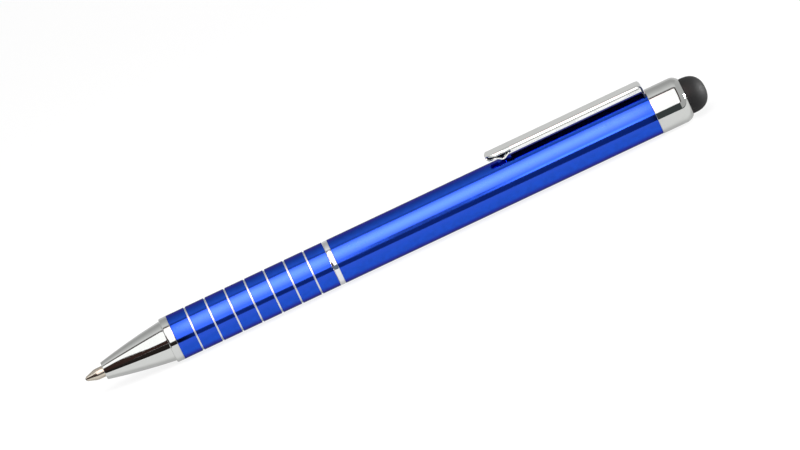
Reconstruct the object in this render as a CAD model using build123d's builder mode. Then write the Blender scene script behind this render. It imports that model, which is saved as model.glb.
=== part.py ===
from build123d import *
import math
import os

# A twist-action ballpoint pen with a rubber stylus, a pocket clip and a ringed grip. It lies along X, with the
# writing point at -X, the stylus at +X and the clip on top. The origin is on the axis at the rear end of the
# lower barrel, where the two halves of the pen turn against each other. The point is out, as for writing.

# Fits
slip_fit = 0.03  # on the radius, between pieces that are pressed or glued together
running_fit = 0.07  # on the radius, between pieces that turn or slide on each other
end_gap = 0.05  # along the axis, between faces that turn against each other
overrun = 1.0  # how far a cut runs past what it cuts

# Barrels and the ring between them
barrel_diameter = 9.5
barrel_wall = 0.7
barrel_edge = 0.08  # chamfer round the ends of both barrels
lower_barrel_length = 34.5
upper_barrel_length = 70.3
groove_count = 7
groove_pitch = 4.38
groove_width = 0.34
groove_depth = 0.2
ring_length = 1.1
ring_crown = 0.06  # how far the ring's edges lie below its middle

# Nose cone
cone_length = 14.1
cone_bulge = 0.18  # how far the cone's middle stands out from a straight taper
nose_front_diameter = 3.7
nose_rear_diameter = 8.6
nose_lip = 0.15  # rounding of the front edge
nose_wall = 0.7  # wall left outside the spring's seat
collar_length = 1.7
collar_round = 0.4
nose_spigot_length = 6.0

# Refill
refill_length = 88.0
refill_diameter = 3.0
refill_wall = 0.25
point_reach = 4.1  # from the nose to the end of the ball
point_diameter = 2.35
point_neck_diameter = 2.14  # where the point's cone ends
point_cone_length = 1.8
point_step_length = 0.5
point_stub_length = 3.5
point_setback = 0.5  # from the spring's seat to the front of the refill's tube
ball_diameter = 0.8
ball_showing = 0.25
ball_play = 0.02
ball_rim = 0.06  # metal left round the ball
feed_diameter = 0.4
feed_length = 4.0
reservoir_diameter = 1.2
ink_share = 0.75  # of the room behind the point
grease_length = 3.0

# Return spring, as it is with the point out
spring_length = 14.0
spring_clearance = 0.25  # on the radius, to the refill and to the nose
wire_diameter = 0.36
end_pitch = 0.85
end_turns = 1
open_turns = 7
stop_length = 0.6  # the refill's collar behind the spring

# Twist mechanism
travel = 5.2
half_turn = 180  # degrees of twist that give the whole travel
follower_wall = 0.4
follower_floor = 0.8
follower_tail = 1.2
socket_depth = 5.0
lug_diameter = 1.4
lug_tip_gap = 0.3  # from the lugs' ends to the outside of the cam sleeve
guide_wall = 0.35
flange_length = 0.8
flange_rise = 0.8
washer_thickness = 0.5
washer_rise = 1.2
cam_lead = 3.0  # cam sleeve in front of the lugs at rest
cam_tail = 2.6  # cam sleeve behind the lugs at full travel
retainer_length = 1.2
retainer_rise = 0.9

# Coupling between the halves
coupling_length = 9.0
coupling_spigot = 7.0
bush_length = 6.5
bush_wall = 0.5
drag_ring_section = 0.6
drag_ring_place = 4.0
drag_ring_room = 0.1  # along the axis, each side of the ring in its groove

# Clip
clip_length = 34.4
clip_width = 4.3
clip_sheet = 0.32
clip_height = 1.26  # from the sides' lower edges to the top
clip_gap = 0.87  # from the barrel to the sides' lower edges
clip_corner = 0.65  # outside bend between the top and each side
clip_end_sagitta = 0.9  # rounding of the front end, seen from above
clip_bend = 1.0
clip_setback = 0.15  # from the barrel's rear end to the foot
tongue_length = 4.9  # from the clip's front end to the tongue's free end
tongue_relief = 0.45  # between the tongue's end and the sides
side_relief = 0.25  # between the sides and the foot
bump_start = 2.0  # from the clip's front end to where the tongue dips
bump_place = 3.35  # from the clip's front end to the bump's lowest line
bump_clearance = 0.22
bump_flat = 0.5
foot_depth = 1.0  # how far the foot goes in past the barrel's wall
foot_room = 0.1  # round the foot in its slot

# Plug, cap and stylus
plug_length = 9.0
stud_diameter = 4.9
stud_length = 7.0
cap_length = 7.05
cap_rise = 0.07  # how far the cap stands out from the barrel
cap_edge = 0.12
cap_shoulder = 1.95
cap_shoulder_bulge = 0.26
cap_end_diameter = 7.9
cap_rim = 0.65
dome_diameter = 7.5
dome_skirt = 0.62
dome_wall = 0.8
dome_neck_length = 2.5
core_diameter = 2.5
core_barb = 0.7
core_head_thickness = 0.6
core_stem_length = 2.4

# Radii, from the outside in
barrel_radius = barrel_diameter / 2
bore_radius = barrel_radius - barrel_wall
spigot_radius = bore_radius - slip_fit
bush_inner = spigot_radius - bush_wall
journal_radius = bush_inner - running_fit
cap_radius = barrel_radius + cap_rise
cap_end_radius = cap_end_diameter / 2
stud_radius = stud_diameter / 2
nose_front_radius = nose_front_diameter / 2
nose_rear_radius = nose_rear_diameter / 2

# Radii, from the refill out
ball_radius = ball_diameter / 2
point_radius = point_diameter / 2
refill_radius = refill_diameter / 2
refill_inner = refill_radius - refill_wall
wire_radius = wire_diameter / 2
coil_radius = refill_radius + spring_clearance + wire_radius
spring_bore = coil_radius + wire_radius + spring_clearance
stop_radius = coil_radius + wire_radius
socket_radius = refill_radius + slip_fit
follower_radius = socket_radius + follower_wall
guide_inner = follower_radius + running_fit
guide_outer = guide_inner + guide_wall
cam_inner = guide_outer + running_fit
lug_radius = lug_diameter / 2
lug_reach = spigot_radius - lug_tip_gap

# Places along the axis, from the twist line outwards
lower_front = -lower_barrel_length
cone_rear = lower_front - collar_length
nose_front = cone_rear - cone_length
point_end = nose_front - point_reach
ball_place = point_end + ball_radius
rim_place = point_end + ball_showing
upper_front = ring_length
upper_rear = upper_front + upper_barrel_length
cap_rear = upper_rear + cap_length

# The spring's seat lies where the cone is thick enough to hold it
cone_taper = (nose_rear_radius - nose_front_radius) / cone_length
spring_seat = nose_front + (spring_bore + nose_wall - nose_front_radius) / cone_taper
spring_end = spring_seat + spring_length
tube_front = spring_seat + point_setback
refill_rear = point_end + refill_length
lug_place = refill_rear + follower_floor + lug_radius
cam_front = lug_place - lug_radius - cam_lead
cam_rear = lug_place + travel + lug_radius + cam_tail
washer_front = cam_front - end_gap - washer_thickness
flange_front = washer_front - end_gap - flange_length
retainer_front = cam_rear + end_gap
guide_rear = retainer_front + retainer_length

# The clip's heights above the axis
clip_under = barrel_radius + clip_gap
clip_top = clip_under + clip_height
bump_low = barrel_radius + bump_clearance
foot_bottom = bore_radius - foot_depth
clip_rear = upper_rear - clip_setback
clip_front = clip_rear - clip_length
foot_front = clip_rear - clip_sheet
slot_half_width = clip_width / 2 + foot_room


# The nose cone: a slightly bulged taper, a flush collar and a spigot that screws into the lower barrel
guide_hole = point_radius + running_fit
with BuildPart() as nose_cone:
    with BuildSketch(Plane.XY):
        with BuildLine():
            Line((nose_front, guide_hole), (nose_front, nose_front_radius - nose_lip))
            TangentArc(
                (nose_front, nose_front_radius - nose_lip),
                (nose_front + nose_lip, nose_front_radius),
                tangent=(0, 1),
            )
            ThreePointArc(
                (nose_front + nose_lip, nose_front_radius),
                ((nose_front + cone_rear) / 2, (nose_front_radius + nose_rear_radius) / 2 + cone_bulge),
                (cone_rear, nose_rear_radius),
            )
            Line((cone_rear, nose_rear_radius), (cone_rear, barrel_radius - collar_round))
            TangentArc(
                (cone_rear, barrel_radius - collar_round),
                (cone_rear + collar_round, barrel_radius),
                tangent=(0, 1),
            )
            Polyline(
                (cone_rear + collar_round, barrel_radius),
                (lower_front - barrel_edge, barrel_radius),
                (lower_front, barrel_radius - barrel_edge),
                (lower_front, spigot_radius),
                (lower_front + nose_spigot_length, spigot_radius),
                (lower_front + nose_spigot_length, spring_bore),
                (spring_seat, spring_bore),
                (spring_seat, guide_hole),
                (nose_front, guide_hole),
            )
        make_face()
    revolve(axis=Axis.X)

# The lower barrel: a tube with fine turned grooves round the grip
with BuildPart() as lower_barrel:
    with BuildSketch(Plane.XY):
        with BuildLine():
            Polyline(
                (lower_front, bore_radius),
                (lower_front, barrel_radius - barrel_edge),
                (lower_front + barrel_edge, barrel_radius),
                (-barrel_edge, barrel_radius),
                (0, barrel_radius - barrel_edge),
                (0, bore_radius),
                close=True,
            )
        make_face()
    revolve(axis=Axis.X)
    first_groove = lower_front / 2 - groove_pitch * (groove_count - 1) / 2
    for number in range(groove_count):
        groove_front = first_groove + groove_pitch * number - groove_width / 2
        with BuildSketch(Plane.YZ.offset(groove_front)):
            Circle(barrel_radius + overrun)
            Circle(barrel_radius - groove_depth, mode=Mode.SUBTRACT)
        extrude(amount=groove_width, mode=Mode.SUBTRACT)

# The bright ring between the barrels, a little crowned
with BuildPart() as centre_ring:
    with BuildSketch(Plane.XY):
        with BuildLine():
            Polyline(
                (end_gap, barrel_radius - ring_crown),
                (end_gap, bore_radius),
                (ring_length, bore_radius),
                (ring_length, barrel_radius - ring_crown),
            )
            ThreePointArc(
                (ring_length, barrel_radius - ring_crown),
                ((ring_length + end_gap) / 2, barrel_radius),
                (end_gap, barrel_radius - ring_crown),
            )
        make_face()
    revolve(axis=Axis.X)

# The upper barrel: a plain tube, notched at the rear for the clip's foot
with BuildPart() as upper_barrel:
    with BuildSketch(Plane.XY):
        with BuildLine():
            Polyline(
                (upper_front, bore_radius),
                (upper_front, barrel_radius - barrel_edge),
                (upper_front + barrel_edge, barrel_radius),
                (upper_rear - barrel_edge, barrel_radius),
                (upper_rear, barrel_radius - barrel_edge),
                (upper_rear, bore_radius),
                close=True,
            )
        make_face()
    revolve(axis=Axis.X)
    with BuildSketch(Plane.XY):
        with Locations((foot_front - foot_room, 0)):
            Rectangle(
                clip_sheet + foot_room + clip_setback + overrun,
                slot_half_width * 2,
                align=(Align.MIN, Align.CENTER),
            )
    extrude(amount=barrel_radius + overrun, mode=Mode.SUBTRACT)

# The coupling: glued into the lower barrel, with a journal that the upper half turns on
drag_ring_radius = drag_ring_section / 2
drag_ring_middle = bush_inner - slip_fit - drag_ring_radius
with BuildPart() as coupling:
    with BuildSketch(Plane.YZ.offset(-coupling_length)):
        Circle(spigot_radius)
    extrude(amount=coupling_length)
    with BuildSketch(Plane.YZ):
        Circle(journal_radius)
    extrude(amount=coupling_spigot)
    with BuildSketch(Plane.YZ.offset(-coupling_length)):
        Circle(guide_outer + slip_fit)
    extrude(amount=coupling_length + coupling_spigot, mode=Mode.SUBTRACT)
    with BuildSketch(Plane.YZ.offset(drag_ring_place - drag_ring_radius - drag_ring_room)):
        Circle(journal_radius + overrun)
        Circle(drag_ring_middle - drag_ring_radius - slip_fit, mode=Mode.SUBTRACT)
    extrude(amount=drag_ring_section + drag_ring_room * 2, mode=Mode.SUBTRACT)

# The rubber ring in the coupling's groove, which gives the twist its drag
with BuildPart() as drag_ring:
    with BuildSketch(Plane.XY):
        with Locations((drag_ring_place, drag_ring_middle)):
            Circle(drag_ring_radius)
    revolve(axis=Axis.X)

# The plain bush in the upper barrel and the bright ring, which turns on the journal
with BuildPart() as bearing_bush:
    with BuildSketch(Plane.YZ.offset(end_gap)):
        Circle(spigot_radius)
        Circle(bush_inner, mode=Mode.SUBTRACT)
    extrude(amount=bush_length)

# The guide tube: fixed in the coupling, with straight slots that keep the follower from turning
with BuildPart() as guide_tube:
    with BuildSketch(Plane.YZ.offset(-coupling_length)):
        Circle(guide_outer)
    extrude(amount=coupling_length + guide_rear)
    with BuildSketch(Plane.YZ.offset(flange_front)):
        Circle(guide_outer + flange_rise)
    extrude(amount=flange_length)
    with BuildSketch(Plane.YZ.offset(-coupling_length)):
        Circle(guide_inner)
    extrude(amount=coupling_length + guide_rear, mode=Mode.SUBTRACT)
    with BuildSketch(Plane.XY):
        with Locations((lug_place + travel / 2, 0)):
            SlotCenterToCenter(travel, (lug_radius + running_fit) * 2)
    extrude(amount=guide_outer + overrun, both=True, mode=Mode.SUBTRACT)

# The washer between the guide tube's flange and the cam sleeve
with BuildPart() as thrust_washer:
    with BuildSketch(Plane.YZ.offset(washer_front)):
        Circle(guide_outer + washer_rise)
        Circle(guide_outer + running_fit, mode=Mode.SUBTRACT)
    extrude(amount=washer_thickness)

# The ring pressed on the guide tube's end, which holds the cam sleeve and so the upper half
with BuildPart() as retainer:
    with BuildSketch(Plane.YZ.offset(retainer_front)):
        Circle(guide_outer + retainer_rise)
        Circle(guide_outer + slip_fit, mode=Mode.SUBTRACT)
    extrude(amount=retainer_length)

# The room that one lug needs in the cam sleeve: half a turn of a left-hand screw, square to the axis
screw_pitch = travel * 2
slot_middle = (cam_inner + spigot_radius) / 2
slot_lead = math.atan2(screw_pitch, math.tau * cam_inner)
slot_half_length = (lug_radius + running_fit) / math.cos(slot_lead)
with BuildPart() as lug_room:
    with BuildLine():
        Helix(screw_pitch, travel, slot_middle, (lug_place, 0, 0), (1, 0, 0), lefthand=True)
    with BuildSketch(Plane((lug_place, 0, slot_middle), x_dir=(1, 0, 0), z_dir=(0, -1, 0))):
        Rectangle(slot_half_length * 2, spigot_radius - cam_inner + overrun)
    sweep(is_frenet=True)

# The cam sleeve: pressed into the upper barrel, with two screw slots that drive the lugs as it turns
with BuildPart() as cam_sleeve:
    with BuildSketch(Plane.YZ.offset(cam_front)):
        Circle(spigot_radius)
        Circle(cam_inner, mode=Mode.SUBTRACT)
    extrude(amount=cam_rear - cam_front)
    add(lug_room.part, mode=Mode.SUBTRACT)
    add(lug_room.part, rotation=(half_turn, 0, 0), mode=Mode.SUBTRACT)
    with BuildSketch(Plane.XY):
        with Locations((lug_place, 0), (lug_place + travel, 0)):
            Circle(lug_radius + running_fit)
    extrude(amount=spigot_radius + overrun, both=True, mode=Mode.SUBTRACT)

# The follower: a plunger in the guide tube that holds the refill's end and carries the two lugs
follower_rear = lug_place + lug_radius + follower_tail
with BuildPart() as follower:
    with BuildSketch(Plane.YZ.offset(refill_rear - socket_depth)):
        Circle(follower_radius)
    extrude(amount=follower_rear - refill_rear + socket_depth)
    with BuildSketch(Plane.XY):
        with Locations((lug_place, 0)):
            Circle(lug_radius)
    extrude(amount=lug_reach, both=True)
    with BuildSketch(Plane.YZ.offset(refill_rear - socket_depth)):
        Circle(socket_radius)
    extrude(amount=socket_depth, mode=Mode.SUBTRACT)

# The refill's tube, with a collar behind the spring
with BuildPart() as refill_tube:
    with BuildSketch(Plane.YZ.offset(tube_front)):
        Circle(refill_radius)
    extrude(amount=refill_rear - tube_front)
    with BuildSketch(Plane.YZ.offset(spring_end)):
        Circle(stop_radius)
    extrude(amount=stop_length)
    with BuildSketch(Plane.YZ.offset(tube_front)):
        Circle(refill_inner)
    extrude(amount=refill_rear - tube_front, mode=Mode.SUBTRACT)

# The point: a cone with a socket for the ball, a guided shank and a stub in the refill's tube
stub_rear = tube_front + point_stub_length
rim_radius = math.sqrt((ball_radius + ball_play) ** 2 - (ball_radius - ball_showing) ** 2) + ball_rim
cone_end = rim_place + point_cone_length
with BuildPart() as refill_point:
    with BuildSketch(Plane.XY):
        with BuildLine():
            Polyline(
                (rim_place, 0),
                (rim_place, rim_radius),
                (cone_end, point_neck_diameter / 2),
                (cone_end + point_step_length, point_radius),
                (tube_front, point_radius),
                (tube_front, refill_inner - slip_fit),
                (stub_rear, refill_inner - slip_fit),
                (stub_rear, 0),
                close=True,
            )
        make_face()
    revolve(axis=Axis.X)
    with Locations((ball_place, 0, 0)):
        Sphere(ball_radius + ball_play, mode=Mode.SUBTRACT)
    with BuildSketch(Plane.YZ.offset(ball_place)):
        Circle(feed_diameter / 2)
    extrude(amount=feed_length, mode=Mode.SUBTRACT)
    with BuildSketch(Plane.YZ.offset(ball_place + feed_length)):
        Circle(reservoir_diameter / 2)
    extrude(amount=stub_rear - ball_place - feed_length, mode=Mode.SUBTRACT)

# The writing ball
with BuildPart() as writing_ball:
    with Locations((ball_place, 0, 0)):
        Sphere(ball_radius)

# The ink, and the grease that follows it up the tube
ink_front = stub_rear + slip_fit
ink_length = (refill_rear - ink_front) * ink_share
with BuildPart() as ink_column:
    with BuildSketch(Plane.YZ.offset(ink_front)):
        Circle(refill_inner - slip_fit)
    extrude(amount=ink_length)

with BuildPart() as grease_plug:
    with BuildSketch(Plane.YZ.offset(ink_front + ink_length)):
        Circle(refill_inner - slip_fit)
    extrude(amount=grease_length)

# The return spring's wire: quarter turns of a helix, each made of two tangent arcs, closer wound at its ends
quarters_per_turn = 4
quarter = math.tau / quarters_per_turn
end_quarters = end_turns * quarters_per_turn
open_quarters = open_turns * quarters_per_turn
wire_start = spring_seat + wire_radius + end_gap
wire_run = spring_length - wire_diameter - end_gap * 2
open_pitch = (wire_run - end_pitch * end_turns * 2) / open_turns
steps = [end_pitch] * end_quarters + [open_pitch] * open_quarters + [end_pitch] * end_quarters
coil_places = [wire_start]
for step in steps:
    coil_places.append(coil_places[-1] + step / quarters_per_turn)
coil_points = []
coil_tangents = []
for number, place in enumerate(coil_places):
    turned = quarter * number
    before = coil_places[max(number - 1, 0)]
    after = coil_places[min(number + 1, len(steps))]
    span = quarter * (min(number + 1, len(steps)) - max(number - 1, 0))
    coil_points.append(Vector(place, coil_radius * math.cos(turned), coil_radius * math.sin(turned)))
    rise = (after - before) / span
    slope = Vector(rise, -coil_radius * math.sin(turned), coil_radius * math.cos(turned))
    coil_tangents.append(slope.normalized())

with BuildPart() as return_spring:
    with BuildLine() as wire_path:
        for number in range(len(steps)):
            start, end = coil_points[number], coil_points[number + 1]
            out, back = coil_tangents[number], coil_tangents[number + 1]
            chord = end - start
            lean = 1 - out.dot(back)
            pull = chord.dot(out + back)
            arm = (math.sqrt(pull**2 + lean * 2 * chord.dot(chord)) - pull) / (lean * 2)
            middle = (start + end + (out - back) * arm) / 2
            TangentArc(start, middle, tangent=out)
            TangentArc(middle, end, tangent=(end - back * arm - middle).normalized())
    with BuildSketch(Plane(coil_points[0], z_dir=coil_tangents[0])):
        Circle(wire_radius)
    sweep()
turn_gaps = [
    coil_places[number + quarters_per_turn] - coil_places[number]
    for number in range(len(steps) + 1 - quarters_per_turn)
]
print("least gap between the spring's turns", round(min(turn_gaps) - wire_diameter, 3))

# The clip: a channel of sheet. Its front end folds under into a tongue with a bump, and its rear end bends down
# to a foot
fold_radius = clip_height / 2
fold_place = clip_front + fold_radius
fold_middle = clip_top - fold_radius
bump_front = clip_front + bump_start
bump_middle = clip_front + bump_place
tongue_rear = clip_front + tongue_length
side_front = tongue_rear + tongue_relief
side_rear = foot_front - side_relief
bend_place = clip_rear - clip_bend
bend_low = clip_top - clip_bend
with BuildPart() as clip:
    with BuildSketch(Plane.XZ):
        with BuildLine():
            TangentArc((clip_rear, bend_low), (bend_place, clip_top), tangent=(0, 1))
            Line((bend_place, clip_top), (fold_place, clip_top))
            ThreePointArc((fold_place, clip_top), (clip_front, fold_middle), (fold_place, clip_under))
            Polyline(
                (fold_place, clip_under),
                (bump_front, clip_under),
                (bump_middle - bump_flat / 2, bump_low),
                (bump_middle + bump_flat / 2, bump_low),
                (tongue_rear, clip_under),
                (tongue_rear, clip_under + clip_sheet),
                (bump_middle + bump_flat / 2, bump_low + clip_sheet),
                (bump_middle - bump_flat / 2, bump_low + clip_sheet),
                (bump_front, clip_under + clip_sheet),
                (fold_place, clip_under + clip_sheet),
            )
            ThreePointArc(
                (fold_place, clip_under + clip_sheet),
                (clip_front + clip_sheet, fold_middle),
                (fold_place, clip_top - clip_sheet),
            )
            Line((fold_place, clip_top - clip_sheet), (bend_place, clip_top - clip_sheet))
            TangentArc((bend_place, clip_top - clip_sheet), (foot_front, bend_low), tangent=(1, 0))
            Polyline(
                (foot_front, bend_low),
                (foot_front, foot_bottom),
                (clip_rear, foot_bottom),
                (clip_rear, bend_low),
            )
        make_face()
    extrude(amount=clip_width / 2, both=True)
    with BuildSketch(Plane.XY):
        with BuildLine():
            end_corner = clip_front + clip_end_sagitta
            ThreePointArc((end_corner, clip_width / 2), (clip_front, 0), (end_corner, -clip_width / 2))
            Polyline(
                (end_corner, -clip_width / 2),
                (clip_rear, -clip_width / 2),
                (clip_rear, clip_width / 2),
                (end_corner, clip_width / 2),
            )
        make_face()
    extrude(amount=clip_top + overrun, mode=Mode.INTERSECT)
    # Between the two reliefs the flat top gives way to the channel's section
    with BuildSketch(Plane.YZ.offset(side_front)):
        with Locations((0, clip_top)):
            Rectangle(clip_width, clip_sheet, align=(Align.CENTER, Align.MAX))
    extrude(amount=side_rear - side_front, mode=Mode.SUBTRACT)
    with BuildSketch(Plane.YZ.offset(side_front)) as channel_section:
        with Locations((0, clip_under)):
            Rectangle(clip_width, clip_height, align=(Align.CENTER, Align.MIN))
        fillet(channel_section.vertices().group_by(Axis.Y)[-1], clip_corner)
        with BuildSketch(mode=Mode.SUBTRACT) as hollow:
            with Locations((0, clip_under)):
                Rectangle(
                    clip_width - clip_sheet * 2,
                    clip_height - clip_sheet,
                    align=(Align.CENTER, Align.MIN),
                )
            fillet(hollow.vertices().group_by(Axis.Y)[-1], clip_corner - clip_sheet)
    extrude(amount=side_rear - side_front)

# The plug in the upper barrel's rear end, slotted for the clip's foot and bored for the cap's stud
with BuildPart() as clip_plug:
    with BuildSketch(Plane.YZ.offset(upper_rear - plug_length)):
        Circle(spigot_radius)
        Circle(stud_radius + slip_fit, mode=Mode.SUBTRACT)
    extrude(amount=plug_length)
    with BuildSketch(Plane.XY.offset(foot_bottom - foot_room)):
        with Locations((foot_front - foot_room, 0)):
            Rectangle(
                clip_sheet + foot_room + clip_setback + overrun,
                slot_half_width * 2,
                align=(Align.MIN, Align.CENTER),
            )
    extrude(amount=barrel_radius, mode=Mode.SUBTRACT)

# The bright cap, with a stud in the plug and a seat for the stylus
neck_radius = cap_end_radius - cap_rim
core_radius = core_diameter / 2
neck_front = cap_rear - dome_neck_length
shoulder_front = cap_rear - cap_shoulder
with BuildPart() as rear_cap:
    with BuildSketch(Plane.XY):
        with BuildLine():
            Polyline(
                (upper_rear - stud_length, 0),
                (upper_rear - stud_length, stud_radius),
                (upper_rear, stud_radius),
                (upper_rear, cap_radius - cap_edge),
                (upper_rear + cap_edge, cap_radius),
                (shoulder_front, cap_radius),
            )
            ThreePointArc(
                (shoulder_front, cap_radius),
                (cap_rear - cap_shoulder / 2, (cap_radius + cap_end_radius) / 2 + cap_shoulder_bulge),
                (cap_rear, cap_end_radius),
            )
            Polyline(
                (cap_rear, cap_end_radius),
                (cap_rear, neck_radius),
                (neck_front, neck_radius),
                (neck_front, core_radius + slip_fit),
                (neck_front - core_stem_length, core_radius + slip_fit),
                (neck_front - core_stem_length, 0),
                (upper_rear - stud_length, 0),
            )
        make_face()
    revolve(axis=Axis.X)

# The stylus: a hollow rubber dome on a neck, gripped by a metal core that leads to the cap
dome_radius = dome_diameter / 2
dome_start = cap_rear + dome_skirt
dome_cavity = dome_radius - dome_wall
with BuildPart() as stylus_dome:
    with BuildSketch(Plane.XY):
        with BuildLine():
            Polyline((cap_rear, neck_radius - slip_fit), (cap_rear, dome_radius), (dome_start, dome_radius))
            TangentArc((dome_start, dome_radius), (dome_start + dome_radius, 0), tangent=(1, 0))
            Line((dome_start + dome_radius, 0), (dome_start + dome_cavity, 0))
            TangentArc((dome_start + dome_cavity, 0), (dome_start, dome_cavity), tangent=(0, 1))
            Polyline(
                (dome_start, dome_cavity),
                (cap_rear, dome_cavity),
                (cap_rear, core_radius + slip_fit),
                (neck_front, core_radius + slip_fit),
                (neck_front, neck_radius - slip_fit),
                (cap_rear, neck_radius - slip_fit),
            )
        make_face()
    revolve(axis=Axis.X)

with BuildPart() as stylus_core:
    with BuildSketch(Plane.YZ.offset(neck_front - core_stem_length)):
        Circle(core_radius)
    extrude(amount=core_stem_length + dome_neck_length)
    with BuildSketch(Plane.YZ.offset(cap_rear)):
        Circle(core_radius + core_barb)
    extrude(amount=core_head_thickness)

pieces = {
    "nose_cone": nose_cone,
    "lower_barrel": lower_barrel,
    "coupling": coupling,
    "drag_ring": drag_ring,
    "guide_tube": guide_tube,
    "thrust_washer": thrust_washer,
    "retainer": retainer,
    "return_spring": return_spring,
    "centre_ring": centre_ring,
    "upper_barrel": upper_barrel,
    "bearing_bush": bearing_bush,
    "cam_sleeve": cam_sleeve,
    "clip_plug": clip_plug,
    "rear_cap": rear_cap,
    "stylus_core": stylus_core,
    "stylus_dome": stylus_dome,
    "clip": clip,
    "follower": follower,
    "refill_tube": refill_tube,
    "ink_column": ink_column,
    "grease_plug": grease_plug,
    "refill_point": refill_point,
    "writing_ball": writing_ball,
}
os.makedirs("parts", exist_ok=True)
for label, piece in pieces.items():
    piece.part.label = label
    export_step(piece.part, f"parts/{label}.step")
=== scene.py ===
import math

import bpy
import numpy as np
from bpy.props import FloatProperty, FloatVectorProperty, IntProperty, PointerProperty
from mathutils import Matrix, Vector


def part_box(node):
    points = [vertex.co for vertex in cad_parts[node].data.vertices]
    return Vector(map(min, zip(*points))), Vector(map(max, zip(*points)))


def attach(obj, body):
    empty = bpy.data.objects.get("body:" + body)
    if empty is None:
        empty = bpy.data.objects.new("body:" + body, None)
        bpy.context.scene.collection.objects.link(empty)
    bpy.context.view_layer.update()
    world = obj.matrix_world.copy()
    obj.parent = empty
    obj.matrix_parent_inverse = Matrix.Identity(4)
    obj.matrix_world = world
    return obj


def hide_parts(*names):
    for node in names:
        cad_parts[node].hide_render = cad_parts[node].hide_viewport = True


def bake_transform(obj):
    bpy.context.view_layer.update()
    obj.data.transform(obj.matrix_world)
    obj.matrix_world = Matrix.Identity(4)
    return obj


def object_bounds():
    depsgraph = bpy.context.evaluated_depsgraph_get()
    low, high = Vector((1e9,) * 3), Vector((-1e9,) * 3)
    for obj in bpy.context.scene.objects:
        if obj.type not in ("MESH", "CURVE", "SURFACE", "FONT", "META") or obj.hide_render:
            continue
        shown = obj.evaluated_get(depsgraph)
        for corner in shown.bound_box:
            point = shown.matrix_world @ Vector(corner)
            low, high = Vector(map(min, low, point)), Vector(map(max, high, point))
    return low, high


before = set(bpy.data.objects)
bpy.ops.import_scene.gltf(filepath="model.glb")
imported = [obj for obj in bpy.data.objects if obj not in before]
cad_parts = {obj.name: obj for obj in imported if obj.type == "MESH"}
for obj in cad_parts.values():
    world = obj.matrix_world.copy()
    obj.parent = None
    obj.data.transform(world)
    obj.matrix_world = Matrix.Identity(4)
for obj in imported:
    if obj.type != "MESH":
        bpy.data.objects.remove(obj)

bl_info = {
    "name": "Stylus pen",
    "version": (1, 0, 0),
    "blender": (4, 5, 0),
    "location": "View3D > Sidebar > Pen",
    "description": "A twist-action ballpoint pen with a stylus tip: shells, clip, finishes and studio",
    "category": "Object",
}

CAD_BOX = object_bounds()
MM = 0.001
FULL_TURN = 2 * math.pi
DEGREE = math.radians(1)

# How finely surfaces are divided
AROUND = 192
NOTCH_AROUND = 32
SWELL_STEPS = 28
CORNER_STEPS = 6
WIRE_AROUND = 14
WIRE_STEPS_A_TURN = 40
SUPPORT = 0.02 * MM
SHARP_ANGLE = 40 * DEGREE
POLE_GAP = 4 * DEGREE

# Corner roundings: a mark on a flat face, a hidden machined corner, a crisp outer edge and a softer one
FLAT_MARK = 0.00375 * MM
HIDDEN = 0.015 * MM
CRISP = 0.04 * MM
SOFT = 0.09 * MM

# How the clip's sheet is bent
FLAT, LIPPED, CHANNEL = range(3)

# The least upward part of a way that counts as up
FACES_UP = 0.5

# Spans of noise, or of a mask, over which a mark shows
BLOT_SPAN = (0.42, 0.72)
HAIR_SPAN = (0.62, 0.7)
GRAIN_SPAN = (0.3, 0.7)
RING_SPAN = (0.25, 0.75)
WORN_SPAN = (0.35, 1.0)
# The facing span over which the blue's painted sheen comes in
PAINTED_SHEEN_SPAN = (0.2, 0.06)

# How hairlines slant and stretch, what is left of a place across the pen, and the blue's colour at its rims
HAIR_SLANT = (0.0, 0.05, 0.12)
HAIR_STRETCH = (0.12, 7.0, 7.0)
ACROSS_ONLY = (0.0, 1.0, 1.0)
BLUE_RIM = (0.0, 0.2, 0.3, 1.0)

# Where mirrors see the floor change, across the pen, and what is left of it there. Under the pen it is
# darkened by a painted shadow that only mirrors see
FLOOR_PAST_STRIP = (-22 * MM, -30 * MM)
FLOOR_FAR = (-39.1 * MM, -39.7 * MM)
FLOOR_FAR_SHARE = 0.1
FLOOR_PAINTED_SHADOW = (-4.2 * MM, -2 * MM)
FLOOR_PAINTED_SHADOW_SHARE = 0.62

# Where the strips change colour, along the pen and above the floor, and their share of the floor's reach
STRIP_PAST_NOSE = (-34 * MM, -30 * MM)
STRIP_PAST_BARRELS = (70 * MM, 71.5 * MM)
STRIP_PAST_CAP = (77.5 * MM, 78.5 * MM)
STRIP_FOOT = (0.7 * MM, 0.9 * MM)
STRIP_SHARE = 1 / 8

# Where the softbox changes along the pen
FIRST_RISE = (-45 * MM, -92 * MM)
LAST_RISE = (-139 * MM, -179 * MM)
TOP_FALL = (-112 * MM, -185 * MM)
FLAG_START = (2 * MM, 9 * MM)
FLAG_END = (55 * MM, 30 * MM)
PAST_FLAG_START = (30 * MM, 55 * MM)
BARRELS_START = (-42 * MM, -38 * MM)
BARRELS_END = (78.4 * MM, 77.4 * MM)

# Where it changes by the angle over the pen, and by how much its edges rise, fall and fade
FIRST_RISE_BY = 19 * DEGREE
LAST_RISE_BY = 26 * DEGREE
TOP_FALL_BY = 4 * DEGREE
BOX_SOFT = 0.8 * DEGREE
BOX_FADE = (0.0, 36 * DEGREE)
FLAG_FALL = (19 * DEGREE, 15 * DEGREE)
PAST_FLAG_FALL = (18 * DEGREE, 6 * DEGREE)
PAST_FLAG_GAIN = 1.1
GEL_RISE = (8 * DEGREE, 30 * DEGREE)

# Where its light fades out and where its card ends, as shares of its reach to the stylus side
BOX_END_SHARE = 0.97
BOX_CARD_SHARE = 1.4

# The studio's greys by the share of the way over the pen, from the front horizon to the back one
WALL_GREY_SHARES = {0.49: 0.5, 0.51: 0.92, 0.556: 0.79, 0.631: 0.63, 0.717: 0.5, 0.827: 0.5, 0.9: 0.7}
FRONT_GREY = 0.5
BACK_GREY = 0.65

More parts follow.
